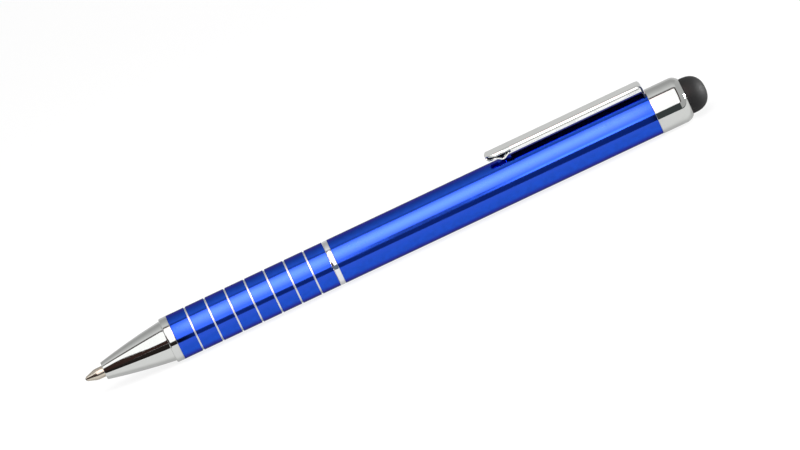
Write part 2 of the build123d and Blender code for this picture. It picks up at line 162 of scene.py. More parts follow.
# Where the studio changes, by how far a direction points along the pen or by the share of the way over it
DARK_START = (-0.5, -0.65)
DARK_FALL = (0.5, 0.44)
SIDE_START = (0.45, 0.55)
SIDE_LIGHT = (0.985, 0.99)

# How many times nearer and farther than the pen the camera sees
CLIP_TIMES = 100

# Places that the frame gives
NOSE_LOW, NOSE_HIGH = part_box("nose_cone")
GRIP_LOW, GRIP_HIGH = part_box("lower_barrel")
RING_LOW, RING_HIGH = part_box("centre_ring")
UPPER_LOW, UPPER_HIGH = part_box("upper_barrel")
CLIP_LOW, CLIP_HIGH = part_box("clip")
CAP_LOW, CAP_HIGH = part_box("rear_cap")
DOME_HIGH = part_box("stylus_dome")[1]
POINT_LOW, POINT_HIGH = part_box("refill_point")
BALL_LOW, BALL_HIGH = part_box("writing_ball")
SPRING_LOW, SPRING_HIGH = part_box("return_spring")


def length(label, text, millimetres, lowest=0):
    """A length, given in millimetres."""
    return FloatProperty(
        name=label, description=text, default=millimetres * MM, min=lowest, unit="LENGTH", precision=5
    )


def quantity(label, text, number):
    """How many there are of something."""
    return IntProperty(name=label, description=text, default=number, min=1)


def level(label, text, value):
    """A brightness, where 1 shows as white."""
    return FloatProperty(name=label, description=text, default=value, min=0)


def angle(label, text, degrees):
    """An angle, given in degrees."""
    return FloatProperty(name=label, description=text, default=degrees * DEGREE, subtype="ANGLE")


def tint(label, text, red, green, blue):
    """A surface colour, in linear light."""
    colour = (red, green, blue, 1)
    return FloatVectorProperty(
        name=label, description=text, default=colour, size=4, min=0, max=1, subtype="COLOR"
    )


class BarrelSizes(bpy.types.PropertyGroup):
    """Sizes of the two barrels and of the ring between them."""

    radius: length("Radius", "Outside radius of both barrels", GRIP_HIGH.z / MM)
    wall: length("Wall", "Thickness of both barrels", 0.7)
    groove_count: quantity("Grooves", "Turned grooves round the grip", 7)
    groove_pitch: length("Groove pitch", "From one groove to the next", 4.38)
    groove_width: length("Groove width", "Width of a groove", 0.34)
    groove_depth: length("Groove depth", "How deep a groove is turned", 0.2)
    notch_half_width: length("Notch half width", "Half the notch for the clip's foot", 2.25)
    notch_depth: length("Notch depth", "From the rear rim to the notch's floor", 0.57)
    ring_crown: length("Ring crown", "How far the ring's middle stands above its edges", 0.06)


class NoseSizes(bpy.types.PropertyGroup):
    """Sizes of the tapered nose."""

    front_radius: length("Front radius", "Radius of the taper's small end", 1.85)
    rear_radius: length("Rear radius", "Radius of the taper's large end", 4.3)
    bulge: length("Bulge", "How far the taper's middle swells", 0.18)
    lip: length("Lip", "Rounding of the front edge", 0.15)
    collar_length: length("Collar", "Length of the flush collar", 1.7)
    collar_round: length("Collar rounding", "Rounding of the collar's front edge", 0.4)
    hole: length("Hole", "Radius of the hole that the point runs in", 1.245)
    spring_bore: length("Spring bore", "Radius of the bore round the spring", 2.36)
    seat_depth: length("Seat depth", "From the nose's front to the spring's seat", 6.964)
    spigot_radius: length("Spigot radius", "Radius of the spigot in the lower barrel", 4.02)


class ClipSizes(bpy.types.PropertyGroup):
    """Sizes of the clip, a channel of sheet whose front end folds under."""

    sheet: length("Sheet", "Thickness of the sheet", 0.32)
    height: length("Height", "From the sides' lower edges to the top", 1.19)
    corner: length("Corner", "Outside rounding between the top and the sides", 0.6)
    lip: length("Lip", "Height of the lips in front of the sides", 0.72)
    edge: length("Edge", "Rounding of the sheet's edges", 0.07)
    end_sagitta: length("End rounding", "How far the front end's corners are set back", 0.9)
    bend: length("Rear bend", "Outside radius of the bend down to the foot", 1.0)
    tongue: length("Tongue", "From the front end to the tongue's free end", 4.9)
    tongue_relief: length("Front relief", "From the tongue's free end to where the sides start", 0.45)
    side_relief: length("Rear relief", "From where the sides end to the foot", 0.25)
    bump_start: length("Bump start", "From the front end to where the bump starts", 2.0)
    bump_place: length("Bump place", "From the front end to the bump's lowest line", 3.35)
    bump_flat: length("Bump flat", "Length of the bump's lowest stretch", 0.5)
    bump_low: length("Bump height", "Height of the bump's underside above the axis", 4.97)
    bump_round: length("Bump rounding", "Rounding of the bump's upper corner", 0.3)
    upturn: length("Upturn", "How far the tongue's free end turns up", 0.1)
    upturn_lean: length("Upturn lean", "How far the upturned end leans back", 0.38)
    upturn_round: length("Upturn rounding", "Rounding where the free end turns up", 0.2)
    # Behind the bump, the painted shade inside the fold stops this far short of the edges.
    bright_edge: length("Bright edge", "How far plating reaches in from the edges behind the bump", 0.6)


class CapSizes(bpy.types.PropertyGroup):
    """Sizes of the rear cap and of the stylus in it."""

    shoulder: length("Shoulder", "Length of the rounded shoulder", 1.95)
    shoulder_bulge: length("Shoulder bulge", "How far the shoulder swells", 0.26)
    end_radius: length("End radius", "Radius where the shoulder ends", 3.95)
    rim: length("Rim", "Width of the end face round the stylus", 0.65)
    neck_depth: length("Neck depth", "How deep the stylus sits in the cap", 2.5)
    stud_radius: length("Stud radius", "Radius of the stud in the barrel's plug", 2.45)
    core_hole: length("Core hole", "Radius of the hole for the stylus core", 1.28)
    core_depth: length("Core depth", "Depth of that hole past the neck", 2.4)
    dome_wall: length("Dome wall", "Thickness of the rubber dome", 0.8)
    dome_skirt: length("Dome skirt", "Straight stretch before the dome curves", 0.62)
    dome_blunt: FloatProperty(
        name="Dome bluntness", description="2 is round, and more is blunter", default=2.3, min=2
    )
    slip: length("Slip fit", "Room on the radius between pressed pieces", 0.03)


class PointSizes(bpy.types.PropertyGroup):
    """Sizes of the refill's point."""

    shank_radius: length("Shank radius", "Radius of the shank in the nose", 1.175)
    neck_radius: length("Neck radius", "Radius where the cone ends", 1.07)
    cone_length: length("Cone length", "Length of the cone", 1.8)
    step_length: length("Step length", "Length of the step up to the shank", 0.5)
    stub_radius: length("Stub radius", "Radius of the stub in the refill's tube", 1.22)
    stub_length: length("Stub length", "Length of the stub", 3.5)
    rim: length("Rim", "Metal rolled over round the ball", 0.06)
    play: length("Ball play", "Room round the ball", 0.02)
    feed_radius: length("Feed radius", "Radius of the ink feed behind the ball", 0.2)
    feed_length: length("Feed length", "Length of the feed from the ball's middle", 4.0)
    reservoir_radius: length("Reservoir radius", "Radius of the bore behind the feed", 0.6)


class SpringSizes(bpy.types.PropertyGroup):
    """Sizes of the return spring."""

    wire: length("Wire", "Diameter of the wire", 0.36)
    end_pitch: length("End pitch", "Pitch of the first and last turns", 0.85)
    open_turns: quantity("Open turns", "Turns between the two end turns", 7)


class PenFinishes(bpy.types.PropertyGroup):
    """Colours of the pen's finishes."""

    blue: tint("Blue", "Dye of the anodised barrels", 0.0055, 0.074, 0.6)
    # The red in this dye is a painted sheen: it shows only where the barrel faces the eye and tints its
    # highlight lavender.
    blue_painted_sheen: tint("Blue sheen", "Dye of the anodised barrels where it faces the eye", 0.014, 0.074, 0.6)
    bare: tint("Bare aluminium", "Aluminium where the dye is turned away", 0.74, 0.75, 0.77)
    plating: tint("Plating", "Bright plating", 0.615, 0.625, 0.61)
    ring_plating: tint("Ring plating", "Bright plating of the ring", 0.79, 0.8, 0.81)
    clip_plating: tint("Clip plating", "Bright plating of the clip", 0.76, 0.77, 0.75)
    # A dark colour painted where the clip lies in shade: inside its channel and slit, at its foot's edges
    # and at the tongue's free end.
    fold_painted_shade: tint("Inside of the clip", "Where no plating reached inside the channel", 0.05, 0.06, 0.1)
    nickel_silver: tint("Nickel silver", "The point's metal", 0.62, 0.56, 0.475)
    ball: tint("Ball", "The hard writing ball", 0.35, 0.33, 0.3)
    rubber: tint("Rubber", "The stylus dome", 0.006, 0.006, 0.0063)
    brass: tint("Brass", "Turned brass inside the pen", 0.72, 0.53, 0.24)
    steel: tint("Steel", "Drawn steel inside the pen", 0.55, 0.55, 0.56)
    wire: tint("Spring wire", "Drawn spring wire", 0.6, 0.6, 0.61)
    white_plastic: tint("White plastic", "Moulded bearing plastic", 0.8, 0.8, 0.77)
    black_plastic: tint("Black plastic", "Moulded plug", 0.03, 0.03, 0.033)
    ink: tint("Ink", "Writing ink", 0.01, 0.015, 0.12)
    grease: tint("Grease", "Grease that follows the ink", 0.75, 0.66, 0.4)


class StudioSettings(bpy.types.PropertyGroup):
    """The camera, the light and the floor."""

    elevation: angle("Camera elevation", "Height of the camera above the pen", 16.5)
    roll: angle("Camera roll", "How far the pen slopes across the picture", 25.26)
    lens: FloatProperty(name="Lens", description="Focal length in millimetres", default=500, min=1)
    frame_width: length("Frame width", "Width of the picture at the pen", 160.2)
    aim_along: length("Aim along", "Picture's middle along the pen", 15.77, lowest=-1)
    aim_up: length("Aim up", "Picture's middle above the axis", 1.146, lowest=-1)
    box_distance: length("Softbox distance", "From the pen to the softbox", 300)
    box_low: angle("Softbox low edge", "Elevation of its low edge", 3)
    box_high: angle("Softbox high edge", "Elevation of its high edge", 80)
    box_peak: angle("Softbox peak", "Elevation where it is brightest", 49)
    box_frame: angle("Softbox frame", "Height of the dark frame over its top edge", 5)
    box_front: length("Softbox to the point's side", "How far its dark frame reaches past the origin", 450)
    box_rear: length("Softbox to the stylus side", "How far its light reaches past the origin", 175)
    box_edge_level: level("Softbox edge level", "Brightness along the softbox's edges", 2.2)
    box_peak_level: level("Softbox peak level", "Brightness along the softbox's middle", 4.7)
    gel: tint("Gel", "Weak warm gel over the softbox's middle, as mirrors see it", 1.0, 0.667, 0.667)
    flag_level: level("Flag level", "What is left behind the faint flag across its low edge", 0.17)
    scrim_level: level("Scrim level", "Brightness that mirrors see through the scrims over its ends", 1.6)
    pale_frame: tint("Pale frame", "The frame over the softbox's middle", 0.7, 0.7, 0.7)
    dark_red: tint("Dark frame", "The softbox's frame and the dark cloth beside it", 0.05, 0.026, 0.022)
    side_level: level("Side level", "Brightness of the light off the stylus end", 175.0)
    side_grey: tint("Side grey", "The studio off the stylus end, round that light", 0.6, 0.6, 0.6)
    floor_half: length("Floor half width", "Half the floor's width", 1600)
    floor: tint("Floor", "Pale floor", 0.18, 0.18, 0.18)
    floor_lift: level("Floor lift", "White that the floor adds where it is seen", 0.82)
    floor_near: level("Floor near the pen", "White that it adds where it is mirrored near the pen", 0.75)
    floor_front: level("Floor in front", "White that it adds where it is mirrored past the dark strip", 1.2)
    strip_place: length("Strip place", "From the origin to the dark strip in front of the pen", 17.7)
    strip_slant: angle("Strip slant", "How far the strip is turned off the pen's way", 4.36)
    strip_top: length("Strip top", "Height of the strip's top edge above the axis", 1.02)
    strip_front: tint("Strip, point's side", "The strip's colour off the nose", 0.024, 0.019, 0.017)
    strip_middle: tint("Strip, middle", "The strip's colour off the barrels", 0.14, 0.18, 0.245)
    strip_rear: tint("Strip, stylus side", "The strip's colour off the cap", 0.06, 0.07, 0.07)
    strip_end: tint("Strip, far end", "The strip's colour off the cap's shoulder", 0.55, 0.55, 0.55)
    nose_strip_place: length("Nose strip place", "From the axis to the strip off the nose", 13.3)
    nose_strip_rear: length("Nose strip end", "Where the strip off the nose ends, before the origin", 38.8)


SETTINGS = {
    "pen_barrels": BarrelSizes,
    "pen_nose": NoseSizes,
    "pen_clip": ClipSizes,
    "pen_cap": CapSizes,
    "pen_point": PointSizes,
    "pen_spring": SpringSizes,
    "pen_finishes": PenFinishes,
    "pen_studio": StudioSettings,
}


# Outlines and surfaces
def edge_points(start, end):
    """Points along one edge. A point at share s of the edge is start + s * (end - start), moved to the left
    of the edge by 4 * swell * s * (1 - s), so a swell is a parabola. The edge stops one rounding short of
    each corner, and a straight edge has a second point close to each end, which keeps its shading flat."""
    run = end[:2] - start[:2]
    size = np.hypot(*run)
    first = start[2] / size
    last = 1 - end[2] / size
    held = min(SUPPORT / size, (last - first) / 3)
    if start[3]:
        shares = np.linspace(first, last, SWELL_STEPS)
    else:
        shares = np.array([first, first + held, last - held, last])
    left = np.array([-run[1], run[0]]) / size
    return start[:2] + shares[:, None] * run + (4 * start[3] * shares * (1 - shares))[:, None] * left


def corner_points(before, corner, after):
    """Points of a rounded corner: the quadratic curve (1 - t)^2 before + 2 t (1 - t) corner + t^2 after."""
    t = np.linspace(0, 1, CORNER_STEPS + 2)[1:-1, None]
    return (1 - t) ** 2 * before + 2 * t * (1 - t) * corner + t**2 * after


def outline(corners, closed=True):
    """An outline through corners given as (along, out, rounding) or, where the edge that follows swells,
    (along, out, rounding, swell): the edges in order, joined by their rounded corners."""
    corners = np.array([(*corner, 0)[:4] for corner in corners], float)
    ends = np.roll(corners, -1, axis=0)
    count = len(corners) if closed else len(corners) - 1
    edges = [edge_points(corners[i], ends[i]) for i in range(count)]
    points = [edges[0]]
    for i in range(1, count):
        points += [corner_points(edges[i - 1][-1], corners[i, :2], edges[i][0]), edges[i]]
    if closed:
        points.append(corner_points(edges[-1][-1], corners[0, :2], edges[0][0]))
    return np.concatenate(points)


def lathe(points, turns=None):
    """A surface of revolution about X. Row i and column j hold
    (along_i, out_i * sin(turn_j), out_i * cos(turn_j)), so a turn of 0 is on top."""
    if turns is None:
        turns = np.linspace(0, FULL_TURN, AROUND, endpoint=False)
    along = np.repeat(points[:, :1], len(turns), axis=1)
    out = points[:, 1:2]
    return np.stack([along, out * np.sin(turns), out * np.cos(turns)], axis=2)


def tube(path, radius, around):
    """A round wire along a path. Each row is a circle about a path point:
    point + radius * (cos(a) * side + sin(a) * up), where up is the radial direction crossed with the
    path's tangent and side is square to both."""
    tangent = np.gradient(path, axis=0)
    tangent /= np.linalg.norm(tangent, axis=1, keepdims=True)
    radial = path * np.array([0, 1, 1])
    radial /= np.linalg.norm(radial, axis=1, keepdims=True)
    up = np.cross(radial, tangent)
    up /= np.linalg.norm(up, axis=1, keepdims=True)
    side = np.cross(tangent, up)
    a = np.linspace(0, FULL_TURN, around, endpoint=False)[None, :, None]
    return path[:, None] + radius * (np.cos(a) * side[:, None] + np.sin(a) * up[:, None])


def grid_mesh(name, grid, closed):
    """A mesh over a grid of points whose columns run round and meet. A closed grid's rows meet too. An open
    grid's first and last rows are closed by fans of triangles to their middles."""
    rows, columns = grid.shape[:2]
    row = np.arange(rows if closed else rows - 1)[:, None]
    column = np.arange(columns)[None, :]
    here = row * columns
    there = (row + 1) % rows * columns
    beside = (column + 1) % columns
    quads = np.stack([here + column, there + column, there + beside, here + beside], axis=2).reshape(-1, 4)
    points = grid.reshape(-1, 3)
    fans = np.empty((0, 3), int)
    if not closed:
        points = np.concatenate([points, grid[0].mean(0)[None], grid[-1].mean(0)[None]])
        around = column[0]
        last = (rows - 1) * columns
        first_fan = np.stack([np.full(columns, rows * columns), around, beside[0]], axis=1)
        last_fan = np.stack([np.full(columns, rows * columns + 1), last + beside[0], last + around], axis=1)
        fans = np.concatenate([first_fan, last_fan])
    starts = np.concatenate([np.arange(len(quads)) * 4, len(quads) * 4 + np.arange(len(fans)) * 3])
    corners = np.concatenate([quads.ravel(), fans.ravel()])
    mesh = bpy.data.meshes.new(name)
    mesh.vertices.add(len(points))
    mesh.vertices.foreach_set("co", points.astype(np.float32).ravel())
    mesh.loops.add(len(corners))
    mesh.loops.foreach_set("vertex_index", corners.astype(np.int32))
    mesh.polygons.add(len(starts))
    mesh.polygons.foreach_set("loop_start", starts.astype(np.int32))
    mesh.update(calc_edges=True)
    mesh.validate()
    mesh.polygons.foreach_set("use_smooth", np.ones(len(mesh.polygons), bool))
    mesh.set_sharp_from_angle(angle=SHARP_ANGLE)
    return mesh


def add_piece(name, grid, closed, material, body, node):
    """Puts a surface into the scene as a piece that stands for a CAD node and rides on its body."""
    mesh = grid_mesh(name, grid, closed)
    mesh.materials.append(material)
    piece = bpy.data.objects.new(name, mesh)
    bpy.context.scene.collection.objects.link(piece)
    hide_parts(node)
    if body:
        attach(piece, body)
    return piece


# Shader nodes
class Nodes:
    """Makes shader nodes in one tree and gives their outputs."""

    def __init__(self, tree):
        self.tree = tree

    def add(self, kind, inputs=None, **settings):
        """A node with its settings made and its inputs linked to sockets or set to values."""
        made = self.tree.nodes.new("ShaderNode" + kind)
        for name, value in settings.items():
            setattr(made, name, value)
        for name, value in (inputs or {}).items():
            if isinstance(value, bpy.types.NodeSocket):
                self.tree.links.new(value, made.inputs[name])
            else:
                made.inputs[name].default_value = value
        return made.outputs

    def math(self, operation, *values):
        """One step of arithmetic."""
        return self.add("Math", dict(enumerate(values)), operation=operation)[0]

    def times(self, first, *others):
        """The product of several values."""
        for other in others:
            first = self.math("MULTIPLY", first, other)
        return first

    def ramp(self, value, low, high, to_low=0.0, to_high=1.0):
        """A value carried smoothly from one span to another."""
        inputs = {"Value": value, "From Min": low, "From Max": high, "To Min": to_low, "To Max": to_high}
        return self.add("MapRange", inputs, interpolation_type="SMOOTHSTEP")[0]

    def mix(self, mask, first, second):
        """One colour turned into another by a mask."""
        return self.add("Mix", {0: mask, 6: first, 7: second}, data_type="RGBA")[2]

    def noise(self, place, **inputs):
        """Noise that changes with a place."""
        return self.add("TexNoise", {"Vector": place, **inputs})[0]


def grey(value):
    """A grey, in linear light."""
    return (value, value, value, 1.0)


def shade(colour, times):
    """A colour made darker, or paler as far as white."""
    return tuple(min(1.0, channel * times) for channel in colour[:3]) + (1.0,)


def handling_marks(nodes, millimetres, blot_scale):
    """Marks of a handled surface. Smudges are soft blots, a few millimetres across, and Scratches are fine
    hairlines that run mostly along the pen."""
    blots = nodes.noise(millimetres, Scale=blot_scale, Detail=5.0, Roughness=0.62)
    slant = {"Vector": millimetres, "Rotation": HAIR_SLANT, "Scale": HAIR_STRETCH}
    hairs = nodes.noise(nodes.add("Mapping", slant)[0], Scale=1.0, Detail=2.0, Distortion=0.3)
    return nodes.ramp(blots, *BLOT_SPAN), nodes.ramp(hairs, *HAIR_SPAN)


def turned_lines(nodes, millimetres, pitch):
    """The fine rings that a lathe leaves: noise that changes along the axis only, a pitch apart."""
    along = nodes.math("DIVIDE", nodes.add("SeparateXYZ", {0: millimetres})[0], pitch)
    rings = nodes.add("TexNoise", {"W": along, "Scale": 1.0, "Detail": 3.0}, noise_dimensions="1D")[0]
    return (rings,)


def bare_edges(nodes, millimetres, radius, depth):
    """Wear of a dyed skin on a round bar. Bare is 1 wherever the surface lies more than a depth inside the
    bar's radius, as in a turned groove or a bore, and fades out with a little noise at the edges."""
    flat = nodes.add("VectorMath", {0: millimetres, 1: ACROSS_ONLY}, operation="MULTIPLY")[0]
    out = nodes.add("VectorMath", {0: flat}, operation="LENGTH")["Value"]
    chips = nodes.noise(millimetres, Scale=6.0, Detail=3.0)
    uneven = nodes.times(depth, nodes.math("ADD", chips, 0.5))
    depth_share = nodes.math("DIVIDE", nodes.math("SUBTRACT", radius, out), uneven)
    return (nodes.ramp(depth_share, *WORN_SPAN),)


# What makes each shader group, with its inputs after the place in millimetres and its outputs
GROUPS = {
    "handling_marks": (handling_marks, ("Blot Scale",), ("Smudges", "Scratches")),
    "turned_lines": (turned_lines, ("Pitch",), ("Lines",)),
    "bare_edges": (bare_edges, ("Radius", "Depth"), ("Bare",)),
}


def group_once(name):
    """The named shader group, made the first time that it is asked for."""
    group = bpy.data.node_groups.get(name)
    if group:
        return group
    fill, inputs, outputs = GROUPS[name]
    group = bpy.data.node_groups.new(name, "ShaderNodeTree")
    group.interface.new_socket("Millimetres", in_out="INPUT", socket_type="NodeSocketVector")
    for label in inputs:
        group.interface.new_socket(label, in_out="INPUT", socket_type="NodeSocketFloat")
    for label in outputs:
        group.interface.new_socket(label, in_out="OUTPUT", socket_type="NodeSocketFloat")
    given = group.nodes.new("NodeGroupInput").outputs
    results = group.nodes.new("NodeGroupOutput").inputs
    made = fill(Nodes(group), given["Millimetres"], *[given[label] for label in inputs])
    for label, socket in zip(outputs, made):
        group.links.new(socket, results[label])
    return group


class Finish(Nodes):
    """A material under construction, with its Principled shader and a place on the object in millimetres."""

    def __init__(self, name, **constants):
        self.material = bpy.data.materials.new(name)
        self.material.use_nodes = True
        super().__init__(self.material.node_tree)
        self.shader = self.tree.nodes["Principled BSDF"]
        for label, value in constants.items():
            self.shader.inputs[label.replace("_", " ")].default_value = value
        place = self.add("TexCoord")["Object"]
        self.millimetres = self.add("VectorMath", {0: place, "Scale": 1 / MM}, operation="SCALE")[0]

    def marks(self, name, **inputs):
        """Places a shader group and gives its outputs."""
        values = {label.replace("_", " "): value for label, value in inputs.items()}
        return self.add("Group", {"Millimetres": self.millimetres, **values}, node_tree=group_once(name))

    def grain(self, scale, detail=3.0):
        """Noise over the surface, with scale blobs to a millimetre."""
        return self.noise(self.millimetres, Scale=scale, Detail=detail)

    def feed(self, label, socket):
        """Links a socket to one of the shader's inputs."""
        self.tree.links.new(socket, self.shader.inputs[label])

    def shades(self, colour, mask, times):
        """Lets a colour vary by a mask between itself and a darker or paler shade of itself."""
        self.feed("Base Color", self.mix(mask, colour, shade(colour, times)))

    def gloss(self, mask, smooth, rough, span=(0, 1)):
        """Lets the roughness vary over a span of a mask."""
        self.feed("Roughness", self.ramp(mask, *span, smooth, rough))

    def bump(self, height, strength, distance):
        """Raises the surface by a height map."""
        inputs = {"Height": height, "Strength": strength, "Distance": distance}
        self.feed("Normal", self.add("Bump", inputs)[0])


def bright_plating(name, colour):
    """Mirror plating with faint smudges and hairlines."""
    finish = Finish(name, Metallic=1.0)
    marks = finish.marks("handling_marks", Blot_Scale=0.3)
    finish.shades(colour, marks["Smudges"], times=0.96)
    finish.gloss(marks["Smudges"], smooth=0.045, rough=0.085)
    finish.bump(marks["Scratches"], strength=0.06, distance=0.01 * MM)
    return finish.material


def blue_anodising(name, colour, sheen, bare, radius):
    """Glossy dyed anodising over aluminium, with a painted sheen: the dye turns redder where it faces the
    eye, which tints the highlight lavender. The aluminium shows bare in turned grooves and along worn edges."""
    finish = Finish(name, Metallic=1.0, Specular_Tint=BLUE_RIM, Coat_Weight=0.27, Coat_Roughness=0.06)
    marks = finish.marks("handling_marks", Blot_Scale=0.22)
    worn = finish.marks("bare_edges", Radius=radius / MM, Depth=0.03)["Bare"]
    uneven = finish.ramp(finish.grain(0.8), *GRAIN_SPAN)
    dye = finish.mix(uneven, colour, shade(colour, times=0.88))
    # Painted sheen: the dye turns redder where the surface faces the eye.
    away = finish.add("LayerWeight", {"Blend": 0.5})["Facing"]
    dye = finish.mix(finish.ramp(away, *PAINTED_SHEEN_SPAN), dye, sheen)
    finish.feed("Base Color", finish.mix(worn, dye, bare))
    dyed = finish.ramp(marks["Smudges"], 0, 1, to_low=0.11, to_high=0.16)
    finish.feed("Roughness", finish.math("ADD", dyed, finish.times(worn, 0.3)))
    finish.bump(marks["Scratches"], strength=0.08, distance=0.01 * MM)
    return finish.material


def turned_metal(name, colour, roughness, pitch, bump):
    """Turned metal with fine rings round the axis and a little tarnish."""
    finish = Finish(name, Metallic=1.0)
    rings = finish.marks("turned_lines", Pitch=pitch)["Lines"]
    marks = finish.marks("handling_marks", Blot_Scale=0.8)
    finish.shades(colour, marks["Smudges"], times=0.82)
    finish.gloss(rings, smooth=roughness * 0.75, rough=roughness * 1.3, span=RING_SPAN)
    finish.bump(rings, strength=bump, distance=0.02 * MM)
    return finish.material


def satin_rubber(name, colour):
    """Soft black rubber: a fine grain, a satin gloss and a trace of dust."""
    finish = Finish(name, Specular_IOR_Level=0.28)
    blots = finish.marks("handling_marks", Blot_Scale=0.45)["Smudges"]
    finish.shades(colour, blots, times=1.6)
    finish.gloss(blots, smooth=0.6, rough=0.7)
    finish.bump(finish.grain(9.0, 4.0), strength=0.12, distance=0.03 * MM)
    return finish.material


def painted_shade_sheet(name, colour):
    """Painted shade: a dark, dull sheet with soft blots and no gloss, for the places where the clip lies in
    shade.
    """
    finish = Finish(name, Specular_IOR_Level=0.0, Roughness=0.9)
    blots = finish.marks("handling_marks", Blot_Scale=0.9)["Smudges"]
    finish.shades(colour, blots, times=0.6)
    finish.bump(finish.grain(12.0), strength=0.1, distance=0.02 * MM)
    return finish.material


def moulded_plastic(name, colour, roughness):
    """Moulded plastic with a fine spark-eroded grain."""
    finish = Finish(name)
    grain = finish.grain(14.0, 2.0)
    finish.shades(colour, grain, times=0.92)
    finish.gloss(grain, smooth=roughness * 0.85, rough=roughness * 1.15, span=GRAIN_SPAN)
    finish.bump(grain, strength=0.1, distance=0.02 * MM)
    return finish.material


def thick_fluid(name, colour, clearness):
    """Ink or grease: glossy, uneven in depth, and see-through where it is thin."""
    finish = Finish(name, Transmission_Weight=clearness, IOR=1.47)
    swirl = finish.grain(0.7, 2.0)
    finish.shades(colour, finish.ramp(swirl, *GRAIN_SPAN), times=0.75)
    finish.gloss(swirl, smooth=0.06, rough=0.16, span=GRAIN_SPAN)
    return finish.material


def finish_once(name, make, *values):
    """The named material, made the first time that it is asked for."""
    return bpy.data.materials.get(name) or make(name, *values)


def plating(scene):
    """The bright plating that the nose and the cap share."""
    return finish_once("bright_plating", bright_plating, scene.pen_finishes.plating)


def anodising(scene):
    """The blue anodising that both barrels share."""
    finishes = scene.pen_finishes
    colours = (finishes.blue, finishes.blue_painted_sheen, finishes.bare)
    return finish_once("blue_anodising", blue_anodising, *colours, scene.pen_barrels.radius)


# The pieces
class PEN_OT_nose(bpy.types.Operator):
    """Make the tapered nose: a swelling cone, a flush collar and a spigot, bored through"""

    bl_idname = "pen.nose"
    bl_label = "Nose"

    def execute(self, context):
        size = context.scene.pen_nose
        barrel = context.scene.pen_barrels.radius
        front, rear = NOSE_LOW.x, NOSE_HIGH.x
        collar_rear = GRIP_LOW.x
        cone_rear = collar_rear - size.collar_length
        seat = front + size.seat_depth
        corners = [
            (front, size.hole, CRISP),
            (front, size.front_radius, size.lip, size.bulge),
            (cone_rear, size.rear_radius, HIDDEN),
            (cone_rear, barrel, size.collar_round - HIDDEN * 2),
            (collar_rear, barrel, SOFT),
            (collar_rear, size.spigot_radius, HIDDEN),
            (rear, size.spigot_radius, SOFT),
            (rear, size.spring_bore, SOFT),
            (seat, size.spring_bore, HIDDEN),
            (seat, size.hole, HIDDEN),
        ]
        skin = plating(context.scene)
        add_piece("bright_nose", lathe(outline(corners)), True, skin, "front", "nose_cone")
        return {"FINISHED"}


class PEN_OT_barrels(bpy.types.Operator):
    """Make the ringed lower barrel and the plain upper barrel with its notch for the clip's foot"""

    bl_idname = "pen.barrels"
    bl_label = "Barrels"

    def execute(self, context):
        size = context.scene.pen_barrels
        skin = anodising(context.scene)
        lower = outline(self.tube_corners(size, GRIP_LOW.x, GRIP_HIGH.x, self.groove_corners(size)))
        add_piece("grip_barrel", lathe(lower), True, skin, "front", "lower_barrel")
        upper = outline(self.tube_corners(size, UPPER_LOW.x, UPPER_HIGH.x, []))
        grid = self.notched(size, upper)
        add_piece("plain_barrel", grid, True, skin, "upper", "upper_barrel")
        return {"FINISHED"}

    def tube_corners(self, size, front, rear, between):
        """Corners of a tube's section, with others along its outside."""
        bore = size.radius - size.wall
        start = [(front, bore, CRISP), (front, size.radius, SOFT)]
        return start + between + [(rear, size.radius, SOFT), (rear, bore, CRISP)]

    def groove_corners(self, size):
        """Corners of the grooves, spread evenly about the middle of the lower barrel."""
        floor = size.radius - size.groove_depth
        half = size.groove_width / 2
        middle = (GRIP_LOW.x + GRIP_HIGH.x) / 2
        corners = []
        for number in range(size.groove_count):
            place = middle + (number - (size.groove_count - 1) / 2) * size.groove_pitch
            corners += [
                (place - half, size.radius, HIDDEN),
                (place - half, floor, CRISP),
                (place + half, floor, CRISP),
                (place + half, size.radius, HIDDEN),
            ]
        return corners

    def notched(self, size, points):
        """The tube turned about X, with two columns close together at each side of the notch. Points near
        the rear rim slide forward there by the notch's depth, and the walls of the notch stand between
        those columns."""
        side = math.asin(size.notch_half_width / size.radius)
        gap = SUPPORT / size.radius
        across = np.linspace(-side, side, NOTCH_AROUND)
        round_back = np.linspace(side + gap, FULL_TURN - side - gap, AROUND)
        turns = np.concatenate([across, round_back])
        grid = lathe(points, turns)
        near_rim = points[:, 0] > UPPER_HIGH.x - size.notch_depth / 2
        in_notch = np.arange(len(turns)) < len(across)
        grid[:, :, 0] -= size.notch_depth * near_rim[:, None] * in_notch[None, :]
        return grid


class PEN_OT_ring(bpy.types.Operator):
    """Make the crowned ring between the barrels"""

    bl_idname = "pen.ring"
    bl_label = "Ring"

    def execute(self, context):
        size = context.scene.pen_barrels
        edge = size.radius - size.ring_crown
        bore = size.radius - size.wall
        corners = [
            (RING_LOW.x, bore, CRISP),
            (RING_LOW.x, edge, CRISP, size.ring_crown),
            (RING_HIGH.x, edge, CRISP),
            (RING_HIGH.x, bore, CRISP),
        ]
        skin = bright_plating("ring_plating", context.scene.pen_finishes.ring_plating)
        add_piece("bright_ring", lathe(outline(corners)), True, skin, "upper", "centre_ring")
        return {"FINISHED"}


